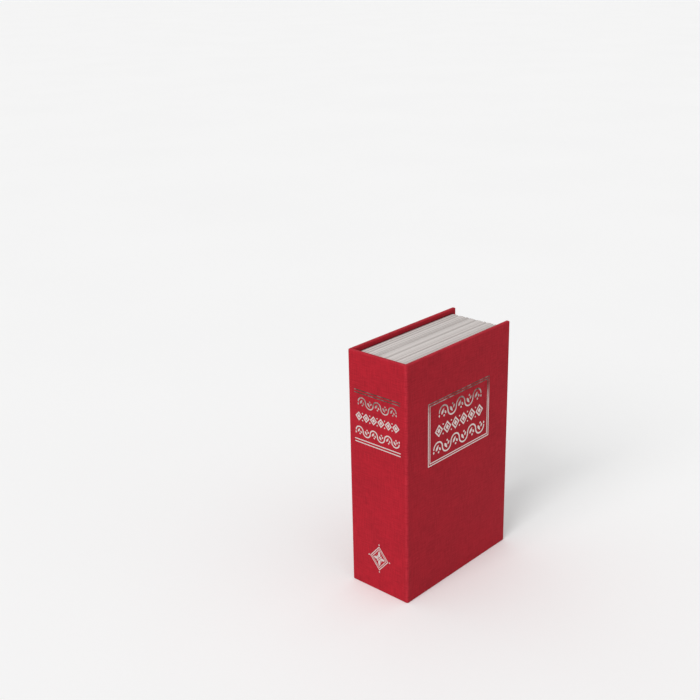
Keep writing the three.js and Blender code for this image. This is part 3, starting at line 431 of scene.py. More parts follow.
@dataclass(frozen=True)
class PowderCoat(Finish):
    """Fine black powder coat baked on steel sheet: a satin, slightly pebbled skin."""

    pale: str = "#222225"
    pebble: float = 0.6
    cloud: float = 9.0

    def pattern(self, tree: NodeTree, shader: Node, place: NodeSocket) -> None:
        """Pebbles the coat at 0.6 mm, coarser than the real powder, and clouds it faintly.

        Args:
            tree: The material's node tree.
            shader: Its shader.
            place: The Object coordinates, in metres.
        """
        pebble = add_node(tree, "TexNoise", {"Scale": 1 / (self.pebble * MM), "Detail": 2.0, "Vector": place})
        cloud = add_node(tree, "TexNoise", {"Scale": 1 / (self.cloud * MM), "Detail": 3.0, "Vector": place})
        mix = {SHARE: cloud, FROM: linear(self.colour), TO: linear(self.pale)}
        rough = {"Value": cloud, "To Min": self.roughness - 0.08, "To Max": self.roughness + 0.12}
        colour = add_node(tree, "Mix", mix, data_type="RGBA")
        self.dress(tree, shader, colour, rough, pebble, strength=0.6, depth=0.07)


class Lay(enum.Enum):
    """How a metal's surface was worked, as the stretch of its fine marks along X, Y and Z."""

    TUMBLED = (1.0, 1.0, 1.0)
    ALONG_X = (0.05, 1.0, 1.0)


@dataclass(frozen=True)
class WorkedMetal(Finish):
    """Bare or plated metal with the fine marks of how it was worked, and faint stains."""

    stain: str = "#8e8f8c"
    stain_size: float = 6.0
    mark: float = 0.3
    lay: Lay = Lay.TUMBLED
    depth: float = 0.01

    def pattern(self, tree: NodeTree, shader: Node, place: NodeSocket) -> None:
        """Marks and stains the metal, with marks drawn coarser than real ones so that they show.

        Args:
            tree: The material's node tree.
            shader: Its shader.
            place: The Object coordinates, in metres.
        """
        scale = [stretch / (self.mark * MM) for stretch in self.lay.value]
        stretched = add_node(tree, "Mapping", {"Scale": scale, "Vector": place})
        marks = add_node(tree, "TexNoise", {"Scale": 1.0, "Detail": 3.0, "Vector": stretched})
        stains = add_node(tree, "TexNoise", {"Scale": 1 / (self.stain_size * MM), "Detail": 2.0, "Vector": place})
        share = add_node(tree, "MapRange", {"Value": stains, "From Min": 0.5, "From Max": 0.75, "To Max": 0.6})
        mix = {SHARE: share, FROM: linear(self.colour), TO: linear(self.stain)}
        rough = {"Value": marks, "To Min": max(self.roughness - 0.08, 0.04), "To Max": self.roughness + 0.12}
        colour = add_node(tree, "Mix", mix, data_type="RGBA")
        self.dress(tree, shader, colour, rough, marks, strength=0.35, depth=self.depth)


@dataclass(frozen=True)
class StudioPaper(Finish):
    """Matt white background paper, a little uneven; it lights the book as written and looks whiter itself."""

    seen: str = "#ffffff"
    cloud: float = 300.0

    def pattern(self, tree: NodeTree, shader: Node, place: NodeSocket) -> None:
        """Clouds the paper faintly and makes it paler where it is seen.

        Args:
            tree: The material's node tree.
            shader: Its shader.
            place: The Object coordinates, in metres.
        """
        cloud = add_node(tree, "TexNoise", {"Scale": 1 / (self.cloud * MM), "Detail": 2.0, "Vector": place})
        share = add_node(tree, "MapRange", {"Value": cloud, "To Min": 0.97, "To Max": 1.0})
        mix = {SHARE: seen_rays(tree), FROM: linear(self.colour), TO: linear(self.seen)}
        paper = add_node(tree, "Mix", mix, data_type="RGBA")
        uneven = add_node(tree, "VectorMath", {0: paper, 1: share}, operation="MULTIPLY")
        feed(tree, shader, {"Base Color": uneven, "Specular IOR Level": 0.1})


def build_finishes() -> dict[str, Material]:
    """Builds every finish of the safe once.

    Returns:
        The materials by the record's slots that take them, and the foil, which has no slot of its own.
    """
    metal = {"metallic": 1.0}
    finishes = {
        # Woven, dyed and starched: a deep matt red with a small square grain, paler along the boards' edges.
        "book_cloth": BookCloth("starched linen book cloth", "#b01628", 0.78),
        # A metal film pressed on hot: bright lines broken up by the thread, with painted shade that browns them
        # towards the head.
        "foil": StampedFoil("silver blocking foil", "#d7cecb", 0.42, **metal),
        # Dyed in the pulp and left uncoated: a dry dark red without shine, flecked by short fibres.
        "endpaper": FibrousSheet("uncoated endpaper", "#7c1823", 0.85),
        # Pressed from waste pulp: dead matt grey brown, coarsely flecked.
        "greyboard": FibrousSheet("millboard", "#8a8178", 0.95, fibre="#6d655d"),
        # Injection moulded: warm white satin with fine uneven lines, painted shade in the furrows between them, and
        # grey specks.
        "page_plastic": MouldedPages("moulded polystyrene pages", "#d5cecb", 0.5),
        # Sprayed and baked: near black with a soft wide gloss that the pebbles break up.
        "black_steel": PowderCoat("black powder coat on steel", "#161618", 0.42),
        # Barrel plated: cool light grey, bright but blurred, with faint dull stains.
        "zinc_steel": WorkedMetal("bright zinc plate", "#c3c6c9", 0.3, **metal),
        # Buffed before plating: a near mirror that takes the colours around it.
        "chrome": WorkedMetal(
            "polished chrome plate", "#dfe1e4", 0.1, **metal, mark=0.2, depth=0.004, stain="#c4c6ca"
        ),
        # Blanked from strip and tumbled: warm yellow with brown stains.
        "brass": WorkedMetal("stamped brass", "#c19a4a", 0.3, **metal, stain="#8f6f34"),
        # Milled along the blade, then plated: a warm soft grey with marks along X.
        "key_steel": WorkedMetal(
            "satin nickel plate", "#dedad2", 0.5, **metal, lay=Lay.ALONG_X, stain="#b0aa9f"
        ),
    }
    return {slot: finish.build() for slot, finish in finishes.items()}


def add_object(name: str, data: bpy.types.ID) -> Object:
    """Makes an object of some data, at the origin.

    Args:
        name: The object's name.
        data: Its mesh, light or camera.

    Returns:
        The new object.
    """
    made = bpy.data.objects.new(name, data)
    bpy.context.scene.collection.objects.link(made)
    return made


def add_mesh(name: str, shape: BMesh, finish: Material) -> Object:
    """Makes an object of a shape.

    Args:
        name: The object's name.
        shape: The shape, in metres; it is freed.
        finish: The material.

    Returns:
        The new object.
    """
    data = bpy.data.meshes.new(name)
    shape.to_mesh(data)
    shape.free()
    data.materials.append(finish)
    return add_object(name, data)


def add_piece(
    name: str, shape: BMesh, finish: Material, body: str | None, stands_for: Sequence[str] = ()
) -> Object:
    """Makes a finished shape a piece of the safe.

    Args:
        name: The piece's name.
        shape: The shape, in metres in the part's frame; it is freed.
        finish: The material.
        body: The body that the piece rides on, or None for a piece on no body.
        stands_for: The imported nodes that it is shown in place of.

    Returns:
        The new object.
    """
    piece = add_mesh(name, shape, finish)
    if body:
        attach(piece, body)
    if stands_for:
        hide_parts(*stands_for)
    LOG.info("%s: %d faces", name, len(piece.data.polygons))
    return piece


def lay_weave(shape: BMesh, corner: float) -> None:
    """Lays the cloth's weave on a shape in metres, square on every side and running on round the spine.

    Args:
        shape: The covered shape.
        corner: The sum of X and Y at the spine's front corner, in millimetres.
    """
    layer = shape.loops.layers.uv.new(WEAVE)
    for face in shape.faces:
        steepest = max(range(3), key=lambda axis: abs(face.normal[axis]))
        for loop in face.loops:
            x, y, z = loop.vert.co
            loop[layer].uv = ((corner * MM - y, z), (x, z), (x, y))[steepest]


def shade(shape: BMesh, sharp_over: float = 35.0) -> None:
    """Shades a shape smooth between its sharp edges.

    Args:
        shape: The shape.
        sharp_over: The turn in degrees from which an edge is sharp.
    """
    for face in shape.faces:
        face.smooth = True
    for edge in shape.edges:
        edge.smooth = edge.calc_face_angle(math.pi) < math.radians(sharp_over)


def weigh_normals(piece: Object) -> None:
    """Keeps large flat faces flat where they meet rounded edges."""
    modifier = piece.modifiers.new("flat faces", "WEIGHTED_NORMAL")
    modifier.keep_sharp = True


def thicken(shape: BMesh, height: float) -> None:
    """Raises a copy of a flat shape and walls in what lies between.

    Args:
        shape: The shape, flat in X and Y.
        height: How far the copy is raised, in millimetres.
    """
    raised = bmesh.ops.extrude_face_region(shape, geom=list(shape.faces), use_keep_orig=True)
    top = [item for item in raised["geom"] if isinstance(item, BMVert)]
    bmesh.ops.translate(shape, vec=(0, 0, height * MM), verts=top)


def round_edges(shape: BMesh, edges: Iterable[BMEdge], radius: float, steps: int = 6) -> None:
    """Rounds some edges of a shape.

    Args:
        shape: The shape.
        edges: The edges.
        radius: Their radius in millimetres.
        steps: The faces across each.
    """
    chosen = list(edges)
    corners = list({vertex for edge in chosen for vertex in edge.verts})
    bmesh.ops.bevel(
        shape, geom=corners + chosen, offset=radius * MM, offset_type="OFFSET", segments=steps, profile=0.5,
        affect="EDGES", clamp_overlap=True, material=-1,
    )  # fmt: skip


def upright_edges(shape: BMesh, places: Iterable[tuple[float, float]]) -> list[BMEdge]:
    """Finds the edges along Z that stand at some places.

    Args:
        shape: The shape.
        places: The places in X and Y, in millimetres.

    Returns:
        The edges, in the places' order.
    """
    found = []
    for place in places:
        spot = Vector(place) * MM
        found += [edge for edge in shape.edges if all((v.co.xy - spot).length < NEAR for v in edge.verts)]
    return found


def level_edges(shape: BMesh, z: float) -> list[BMEdge]:
    """Finds the edges that lie in one level, in millimetres."""
    return [edge for edge in shape.edges if all(abs(v.co.z - z * MM) < NEAR for v in edge.verts)]


def draw_line(shape: BMesh, points: Iterable[Sequence[float]]) -> list[BMVert]:
    """Draws a line through some points.

    Args:
        shape: The shape that the line is added to.
        points: The points in metres.

    Returns:
        The line's vertices.
    """
    line = [shape.verts.new(point) for point in points]
    for pair in zip(line, line[1:]):
        shape.edges.new(pair)
    return line


def sweep(shape: BMesh, rows: Sequence[Sequence[Vector]]) -> None:
    """Extrudes a line of points from row to row and joins what meets.

    Args:
        shape: The shape that the skin is added to.
        rows: The line's points in millimetres, once for each place that it passes.
    """
    line = draw_line(shape, [point * MM for point in rows[0]])
    for row in rows[1:]:
        edges = [shape.edges.get(pair) for pair in zip(line, line[1:])]
        made = set(bmesh.ops.extrude_edge_only(shape, edges=edges)["geom"])
        line = [next(e.other_vert(v) for e in v.link_edges if e.other_vert(v) in made) for v in line]
        for vertex, point in zip(line, row):
            vertex.co = point * MM
    bmesh.ops.remove_doubles(shape, verts=shape.verts, dist=MERGE)


@dataclass
class BookCase:
    """The cloth case: front cover, spine with back cover, and the cloth joint between them."""

    finishes: dict[str, Material]
    board: float = 3.0
    joint_round: float = 1.5
    edge_round: float = 1.0
    end_round: float = 0.8
    joint_gap: float = 0.02
    joint_cloth: float = 0.12
    joint_proud: float = 0.05
    joint_reach: float = 2.2
    joint_steps: int = 10

    def __post_init__(self) -> None:
        """Reads the case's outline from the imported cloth."""
        low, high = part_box("spine_and_back_cloth")
        self.left, self.right = low.x / MM, high.x / MM
        self.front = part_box("front_cover_cloth")[0].y / MM
        self.back = high.y / MM
        self.head = high.z / MM

    def build(self) -> None:
        """Builds the front cover, spine and back cover as one L, and the joint between them."""
        left, right, front, back = self.left, self.right, self.front, self.back
        inside = front + self.board
        plate = [(left, front), (right, front), (right, inside), (left, inside)]
        self.cover("front_cover_case", "front_cover_cloth", plate, plate[:1], ["front_board"])
        inside_x, inside_y = left + self.board, back - self.board
        angle = [(left, front), (inside_x, front), (inside_x, inside_y)]
        angle += [(right, inside_y), (right, back), (left, back)]
        boards = ["spine_board", "back_board"]
        self.cover("spine_and_back_case", "spine_and_back_cloth", angle, [angle[0], angle[-1]], boards)
        self.joint()

    def cover(
        self,
        name: str,
        node: str,
        outline: Sequence[tuple[float, float]],
        bends: Sequence[tuple[float, float]],
        boards: Sequence[str],
    ) -> None:
        """Builds one body's cloth with its rounded edges and its half of the mitred joint.

        Args:
            name: The piece's name.
            node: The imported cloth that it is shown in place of.
            outline: Its corners in X and Y, in millimetres, anticlockwise from above.
            bends: The corners where the cloth turns round the spine.
            boards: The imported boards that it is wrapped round.
        """
        body = frame["nodes"][node]["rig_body"]
        shape = self.column(outline)
        round_edges(shape, upright_edges(shape, bends), self.joint_round, 8)
        fore = [corner for corner in outline if corner[0] == self.right]
        round_edges(shape, upright_edges(shape, fore), self.edge_round)
        round_edges(shape, level_edges(shape, 0) + level_edges(shape, self.head), self.end_round)
        self.mitre(shape, keep_front=body == "front_cover")
        for board in boards:
            self.hollow(shape, board)
        lay_weave(shape, self.left + self.front)
        shade(shape)
        weigh_normals(add_piece(name, shape, self.finishes["book_cloth"], body, [node]))

    def column(self, outline: Sequence[tuple[float, float]]) -> BMesh:
        """Raises an outline in X and Y to the height of the book.

        Args:
            outline: Corners in millimetres, anticlockwise from above.

        Returns:
            The closed column.
        """
        shape = bmesh.new()
        shape.faces.new([shape.verts.new((x * MM, y * MM, 0)) for x, y in outline])
        thicken(shape, self.head)
        bmesh.ops.recalc_face_normals(shape, faces=shape.faces)
        return shape

    def mitre(self, shape: BMesh, keep_front: bool) -> None:
        """Cuts a shape along the 45 degree joint at the spine's front corner and closes the cut.

        Args:
            shape: The shape, whose rear half is left alone.
            keep_front: True to keep the front cover's side of the joint.
        """
        everything = [*shape.verts, *shape.edges, *shape.faces]
        bmesh.ops.bisect_plane(shape, geom=everything, dist=TOUCH, plane_co=(0, 0, 0), plane_no=(0, 1, 0))
        ahead = [vertex for vertex in shape.verts if vertex.co.y < MERGE]
        ahead += [item for item in [*shape.edges, *shape.faces] if all(v.co.y < MERGE for v in item.verts)]
        shift = self.joint_gap / 2 * (1 if keep_front else -1)
        place = ((self.left + shift) * MM, self.front * MM, 0)
        bmesh.ops.bisect_plane(
            shape, geom=ahead, dist=TOUCH, plane_co=place, plane_no=(1, -1, 0), clear_inner=keep_front,
            clear_outer=not keep_front,
        )  # fmt: skip
        bmesh.ops.edgeloop_fill(shape, edges=[edge for edge in shape.edges if edge.is_boundary])

    def hollow(self, shape: BMesh, board: str) -> None:
        """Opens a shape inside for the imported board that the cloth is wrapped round.

        Args:
            shape: The cloth, closed so far.
            board: The board's node; the back board's own holes aren't filled with cloth.
        """
        outside = set(shape.faces)
        if board == "back_board":
            low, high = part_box(board)
            size = Matrix.Diagonal((*(high - low), 1))
            bmesh.ops.create_cube(shape, size=1.0, matrix=Matrix.Translation((low + high) / 2) @ size)
        else:
            shape.from_mesh(frame["nodes"][board].data)
        corners = list({vertex for face in shape.faces if face not in outside for vertex in face.verts})
        bmesh.ops.remove_doubles(shape, verts=corners, dist=MERGE)
        bmesh.ops.reverse_faces(shape, faces=[face for face in shape.faces if face not in outside])

    def joint(self) -> None:
        """Wraps a strip of cloth round the spine's front corner and leaves it on no body."""
        shape = bmesh.new()
        sweep(shape, [self.joint_row(place) for place in range(-1, self.joint_steps + 2)])
        bmesh.ops.recalc_face_normals(shape, faces=shape.faces)
        if any(face.normal.dot(Vector((1, 1, 0))) > 0 for face in shape.faces):
            bmesh.ops.reverse_faces(shape, faces=shape.faces)
        bmesh.ops.solidify(shape, geom=list(shape.faces), thickness=self.joint_cloth * MM)
        lay_weave(shape, self.left + self.front)
        shade(shape)
        piece = add_piece("joint_cloth", shape, self.finishes["book_cloth"], None)
        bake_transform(piece)

    def joint_row(self, place: int) -> list[Vector]:
        """Lists the strip's points from tail to head at one place on its way round the corner.

        Args:
            place: A step of the bend, or one before or after them for the strip's flat ends.

        Returns:
            Points that follow the rounded tail and head of the covers.
        """
        turn = math.pi / 2 * min(max(place / self.joint_steps, 0), 1)
        rise = [self.end_round * share for share in (0.1, 0.25, 0.5, 1.0)]
        row = []
        for z in rise + [self.head - z for z in reversed(rise)]:
            short = self.end_round - min(z, self.head - z)
            inset = self.end_round - math.sqrt(self.end_round**2 - max(short, 0) ** 2)
            radius = self.joint_round + self.joint_proud - inset
            x = self.left + self.joint_round - radius * math.cos(turn)
            y = self.front + self.joint_round - radius * math.sin(turn)
            if place < 0:
                y += self.joint_reach
            if place > self.joint_steps:
                x += self.joint_reach
            row.append(Vector((x, y, z)))
        return row


@dataclass
class PageBlock:
    """The moulded page block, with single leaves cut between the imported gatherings, and the pasted endpaper."""

    finishes: dict[str, Material]
    leaf: float = 0.7
    leaf_depth: tuple[float, float] = (0.06, 0.2)
    outer_round: float = 1.6
    pocket_round: float = 1.5
    lip: float = 0.35
    lip_steps: int = 4
    wall: float = 2.0  # the least thickness between the outside and the pocket
    loft_margin: float = 0.3  # what lies sunk to within this of the outer round isn't a gathering
    corner_steps: int = 5
    turn_in: float = 10.0
    step_width: float = 0.8
    step_depth: float = 0.1
    seed: int = 11

    def build(self) -> None:
        """Builds the page block and the front endpaper."""
        self.pages()
        self.endpaper()

    def ribs(self) -> list[tuple[float, float]]:
        """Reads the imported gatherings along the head.

        Returns:
            Their depth in Y and their inset, in millimetres.
        """
        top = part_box("page_frame")[1].z
        crest = {}
        for vertex in frame["nodes"]["page_frame"].data.vertices:
            y = round(vertex.co.y / MM, 3)
            crest[y] = min(crest.get(y, self.outer_round), (top - vertex.co.z) / MM)
        return sorted((y, inset) for y, inset in crest.items() if inset < self.outer_round - self.loft_margin)

    def leaves(self) -> list[tuple[float, float]]:
        """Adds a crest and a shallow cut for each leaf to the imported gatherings.

        Returns:
            The profile's depth in Y and inset, in millimetres.
        """
        ribs = self.ribs()
        dice = random.Random(self.seed)
        points = [ribs[0]]
        for (y0, inset0), (y1, inset1) in zip(ribs, ribs[1:]):
            count = max(1, round((y1 - y0) / self.leaf))
            for i in range(1, count):
                share = (i + dice.uniform(-0.25, 0.25)) / count
                cut = dice.uniform(*self.leaf_depth) if i % 2 else 0
                points.append((y0 + share * (y1 - y0), inset0 + share * (inset1 - inset0) + cut))
            points.append((y1, inset1))
        return points

    def ring(
        self, shape: BMesh, low: Vector, high: Vector, radius: float, profile: list[tuple[float, float]]
    ) -> None:
        """Sweeps a profile of depth in Y and inset round a rectangle with rounded corners.

        Args:
            shape: The shape that the skin is added to.
            low: The rectangle's lower corner in X and Z.
            high: Its upper corner.
            radius: The corners' radius.
            profile: The profile's points.
        """
        rows = []
        for x, z, start in ((high.x, low.z, -90), (high.x, high.z, 0), (low.x, high.z, 90), (low.x, low.z, 180)):
            centre_x = x - math.copysign(radius, x)
            centre_z = z + (radius if z == low.z else -radius)
            for step in range(self.corner_steps + 1):
                turn = math.radians(start + 90 * step / self.corner_steps)
                row = []
                for y, inset in profile:
                    reach = radius - inset
                    row.append(Vector((centre_x + reach * math.cos(turn), y, centre_z + reach * math.sin(turn))))
                rows.append(row)
        sweep(shape, rows + rows[:1])

    def pages(self) -> None:
        """Builds the block: its leaved outside, the pocket for the box, and the plain faces between them."""
        low, high = (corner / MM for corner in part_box("page_frame"))
        rim = [v.co / MM for v in frame["nodes"]["page_frame"].data.vertices if v.co.y < low.y * MM + NEAR]
        inside = [p for p in rim if all(low[i] + self.wall < p[i] < high[i] - self.wall for i in (0, 2))]
        pocket_low = Vector((min(p.x for p in inside), 0, min(p.z for p in inside)))
        pocket_high = Vector((max(p.x for p in inside), 0, max(p.z for p in inside)))
        turns = [math.pi / 2 * step / self.lip_steps for step in range(self.lip_steps + 1)]
        lip = [(low.y + self.lip * (1 - math.cos(turn)), self.lip * (math.sin(turn) - 1)) for turn in turns]
        shape = bmesh.new()
        self.ring(shape, low, high, self.outer_round, self.leaves())
        self.ring(shape, pocket_low, pocket_high, self.pocket_round, lip + [(high.y, 0.0)])
        for y in (low.y, high.y):
            rims = [e for e in shape.edges if e.is_boundary and all(abs(v.co.y - y * MM) < NEAR for v in e.verts)]
            bmesh.ops.triangle_fill(shape, use_beauty=True, use_dissolve=False, edges=rims, normal=(0, 1, 0))
        bmesh.ops.recalc_face_normals(shape, faces=shape.faces)
        shade(shape, 20)
        add_piece("leaved_pages", shape, self.finishes["page_plastic"], "case", ["page_frame"])

    def endpaper(self) -> None:
        """Builds the front endpaper, which stands a little proud where the cloth is turned in under it."""
        low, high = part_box("front_endpaper")
        shape = bmesh.new()
        place = Matrix.Translation((low + high) / 2)
        bmesh.ops.create_cube(shape, size=1.0, matrix=place @ Matrix.Diagonal((*(high - low), 1)))
        faces = [face for face in shape.faces if face.normal.y > 0.9]
        for width, depth in ((self.turn_in, 0), (self.step_width, -self.step_depth)):
            bmesh.ops.inset_region(shape, faces=faces, thickness=width * MM, depth=depth * MM, use_even_offset=True)
        shade(shape, 60)
        paper = self.finishes["endpaper"]
        weigh_normals(add_piece("pasted_endpaper", shape, paper, "front_cover", ["front_endpaper"]))


def at(x: float, y: float) -> Matrix:
    """Moves a drawing to a place in millimetres."""
    return Matrix.Translation((x * MM, y * MM, 0))


@dataclass
class Stamp:
    """Foil shapes drawn flat, in millimetres to the right and up, before they are laid on a cover."""

    thickness: float = 0.03
    shape: BMesh = field(default_factory=bmesh.new)

    def plate(self, x: float, y: float, wide: float, high: float) -> list[BMFace]:
        """Draws a filled rectangle.

        Args:
            x: Its middle, to the right.
            y: Its middle, upwards.
            wide: Its size to the right.
            high: Its size upwards.

        Returns:
            Its face, in a list.
        """
        size = Matrix.Diagonal((wide * MM, high * MM, 1, 1))
        made = bmesh.ops.create_grid(self.shape, x_segments=1, y_segments=1, size=0.5, matrix=at(x, y) @ size)
        return list({face for v in made["verts"] for face in v.link_faces})

    def frame(self, left: float, right: float, low: float, high: float, width: float) -> None:
        """Draws a rectangle's outline, with a line of some width."""
        self.hollow(self.plate((left + right) / 2, (low + high) / 2, right - left, high - low), width)

    def hollow(self, faces: list[BMFace], width: float) -> None:
        """Leaves only a line of some width inside the edge of a flat shape."""
        bmesh.ops.inset_region(self.shape, faces=faces, thickness=width * MM, use_even_offset=True, use_boundary=True)
        bmesh.ops.delete(self.shape, geom=faces, context="FACES")

    def lozenge(self, x: float, y: float, wide: float, high: float, width: float | None = None) -> None:
        """Draws a lozenge.

        Args:
            x: Its middle, to the right.
            y: Its middle, upwards.
            wide: Its size to the right.
            high: Its size upwards.
            width: The width of its line, or None for a filled one.
        """
        size = Matrix.Diagonal((wide / 2 * MM, high / 2 * MM, 1, 1))
        made = bmesh.ops.create_circle(self.shape, cap_ends=True, segments=4, radius=1.0, matrix=at(x, y) @ size)
        if width:
            self.hollow(list({face for v in made["verts"] for face in v.link_faces}), width)

    def dot(self, x: float, y: float, radius: float) -> None:
        """Draws a filled dot."""
        bmesh.ops.create_circle(self.shape, cap_ends=True, segments=16, radius=radius * MM, matrix=at(x, y))

    def leaf(self, x: float, y: float, length: float, width: float, turn: float) -> None:
        """Draws a pointed leaf.

        Args:
            x: The place of its stalk, to the right.
            y: The place of its stalk, upwards.
            length: Its length.
            width: Its greatest width.
            turn: Its turn from level, in degrees.
        """
        made = bmesh.ops.create_circle(self.shape, cap_ends=True, segments=24, radius=1.0)
        for vertex in made["verts"]:
            along = vertex.co.x
            vertex.co.y *= (1 - along * along) ** 0.35 * (1 - 0.35 * along)
        place = at(x, y) @ Matrix.Rotation(math.radians(turn), 4, "Z") @ at(length / 2, 0)
        place @= Matrix.Diagonal((length / 2 * MM, width / 2 * MM, 1, 1))
        bmesh.ops.transform(self.shape, matrix=place, verts=made["verts"])

    def arc(self, x: float, y: float, radius: float, start: float, span: float, width: float) -> None:
        """Draws a bent line.

        Args:
            x: Its centre, to the right.
            y: Its centre, upwards.
            radius: The radius of its middle.
            start: The angle where it starts, in degrees.
            span: The angle that it runs through, in degrees.
            width: Its width.
        """
        turn = math.radians(start)
        way = Vector((math.cos(turn), math.sin(turn), 0))
        centre = Vector((x * MM, y * MM, 0))
        ends = [self.shape.verts.new(centre + way * ((radius + side * width / 2) * MM)) for side in (-1, 1)]
        bmesh.ops.spin(
            self.shape, geom=[self.shape.edges.new(ends)], cent=centre, axis=(0, 0, 1), angle=math.radians(span),
            steps=max(6, round(abs(span) / 12)), use_merge=False, use_duplicate=False,
        )  # fmt: skip

    def scroll(self, left: float, right: float, height: float, waves: int, width: float) -> None:
        """Draws a leafy scroll: a waving stem with two leaves and a berry in each bend.

        Args:
            left: Where it starts.
            right: Where it ends.
            height: The height of its middle.
            waves: How many bends it has.
            width: The stem's width.
        """
        radius = (right - left) / waves / 2
        for wave in range(waves):
            x = left + (2 * wave + 1) * radius
            up = 1 if wave % 2 == 0 else -1
            self.arc(x, height, radius, 180, -180 * up, width)
            self.leaf(x - 0.5 * radius, height - 0.3 * radius * up, 1.05 * radius, 0.42 * radius, 55 * up)
            self.leaf(x + 0.55 * radius, height - 0.42 * radius * up, 0.62 * radius, 0.34 * radius, 118 * up)
            self.dot(x + 0.12 * radius, height - 0.62 * radius * up, 0.14 * radius + 0.12)
        last = 1 if waves % 2 else -1
        for x, up in ((left, 1), (right, last)):
            self.lozenge(x, height - 1.7 * width * up, 1.5 * width, 2.2 * width)

    def chain(self, left: float, right: float, height: float, links: int, tall: float, width: float) -> None:
        """Draws a row of outlined lozenges with a smaller one in each and dots between them.

        Args:
            left: Where it starts.
            right: Where it ends.
            height: The height of its middle.
            links: How many lozenges it has.
            tall: Their size upwards.
            width: The width of their lines.
        """
        pitch = (right - left) / links
        for link in range(links):
            x = left + (link + 0.5) * pitch
            self.lozenge(x, height, 0.94 * pitch, tall, width)
            self.lozenge(x, height, 0.38 * pitch, 0.42 * tall)
        for link in range(1, links):
            for side in (-1, 1):
                self.dot(left + link * pitch, height + side * 0.38 * tall, 0.45 * width + 0.15)

    def lay(self, name: str, matrix: Matrix, finish: Material, body: str) -> None:
        """Lays the drawing on a cover as a thin film.

        Args:
            name: The piece's name.
            matrix: Where the drawing's zero, right, up and outward go, in metres.
            finish: The foil.
            body: The body that carries the cover.
        """
        flat = self.shape
        bmesh.ops.remove_doubles(flat, verts=flat.verts, dist=MERGE)
        bmesh.ops.recalc_face_normals(flat, faces=flat.faces)
        thicken(flat, self.thickness)
        bmesh.ops.transform(flat, matrix=matrix, verts=flat.verts)
        bmesh.ops.recalc_face_normals(flat, faces=flat.faces)
        add_piece(name, flat, finish, body)


@dataclass
class Tooling:
    """The foil ornament on the front cover and the spine: plain rules and traditional scrollwork."""

    finishes: dict[str, Material]
    line: float = 0.75

    def build(self) -> None:
        """Draws and lays both stamps."""
        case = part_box("spine_and_back_cloth")[0]
        front_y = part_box("front_cover_cloth")[0].y
        front = Matrix(((1, 0, 0, case.x), (0, 0, -1, front_y), (0, 1, 0, 0), (0, 0, 0, 1)))
        spine = Matrix(((0, 0, -1, case.x), (-1, 0, 0, -front_y), (0, 1, 0, 0), (0, 0, 0, 1)))
        self.front_panel().lay("front_foil", front, self.finishes["foil"], "front_cover")
        self.spine_panel().lay("spine_foil", spine, self.finishes["foil"], "case")

    def front_panel(self) -> Stamp:
        """Draws the front's double frame with three rows of ornament, as it is laid out in the photo.

        Returns:
            The drawing, from the spine's corner and the tail.
        """
        stamp = Stamp()
        stamp.frame(22.7, 93.0, 98.0, 145.2, self.line)
        stamp.frame(24.4, 91.3, 99.7, 143.5, self.line)
        stamp.scroll(35.0, 83.0, 134.5, 5, 1.1)
        stamp.chain(30.0, 86.0, 121.7, 6, 9.4, 1.0)
        stamp.scroll(29.0, 87.0, 108.6, 6, 1.1)
        return stamp

    def spine_panel(self) -> Stamp:
        """Draws the spine's double rules, three rows of ornament and the lozenge near its foot.

        Returns:
            The drawing, from the back cover's side and the tail.
        """
        stamp = Stamp()
        for height in (152.1, 150.1, 115.3, 113.2):
            stamp.plate(26.0, height, 41.2, self.line)
        stamp.scroll(9.0, 43.0, 143.6, 5, 0.9)
        stamp.chain(6.0, 46.0, 132.8, 6, 6.8, 0.85)
        stamp.scroll(6.5, 45.5, 121.8, 6, 0.9)
        self.fleuron(stamp, 26.0, 26.5)
        return stamp

    def fleuron(self, stamp: Stamp, x: float, y: float) -> None:
        """Draws a double lozenge with a four-petalled flower in it and four dots round it.

        Args:
            stamp: The drawing.
            x: The middle, to the right.
            y: The middle, upwards.
        """
        stamp.lozenge(x, y, 17.0, 19.5, 0.65)
        stamp.lozenge(x, y, 13.6, 15.6, 0.5)
        petals = [(turn, 1.0, 5.2 if turn % 180 else 4.4, 2.1) for turn in (0, 90, 180, 270)]
        petals += [(turn, 0.8, 2.6, 1.0) for turn in (45, 135, 225, 315)]
        for turn, out, length, width in petals:
            way = Vector((math.cos(math.radians(turn)), math.sin(math.radians(turn))))
            stamp.leaf(x + out * way.x, y + out * way.y, length, width, turn)
        stamp.dot(x, y, 0.6)
        for side in (-1, 1):
            stamp.dot(x + side * 9.6, y, 0.55)
            stamp.dot(x, y + side * 10.9, 0.55)


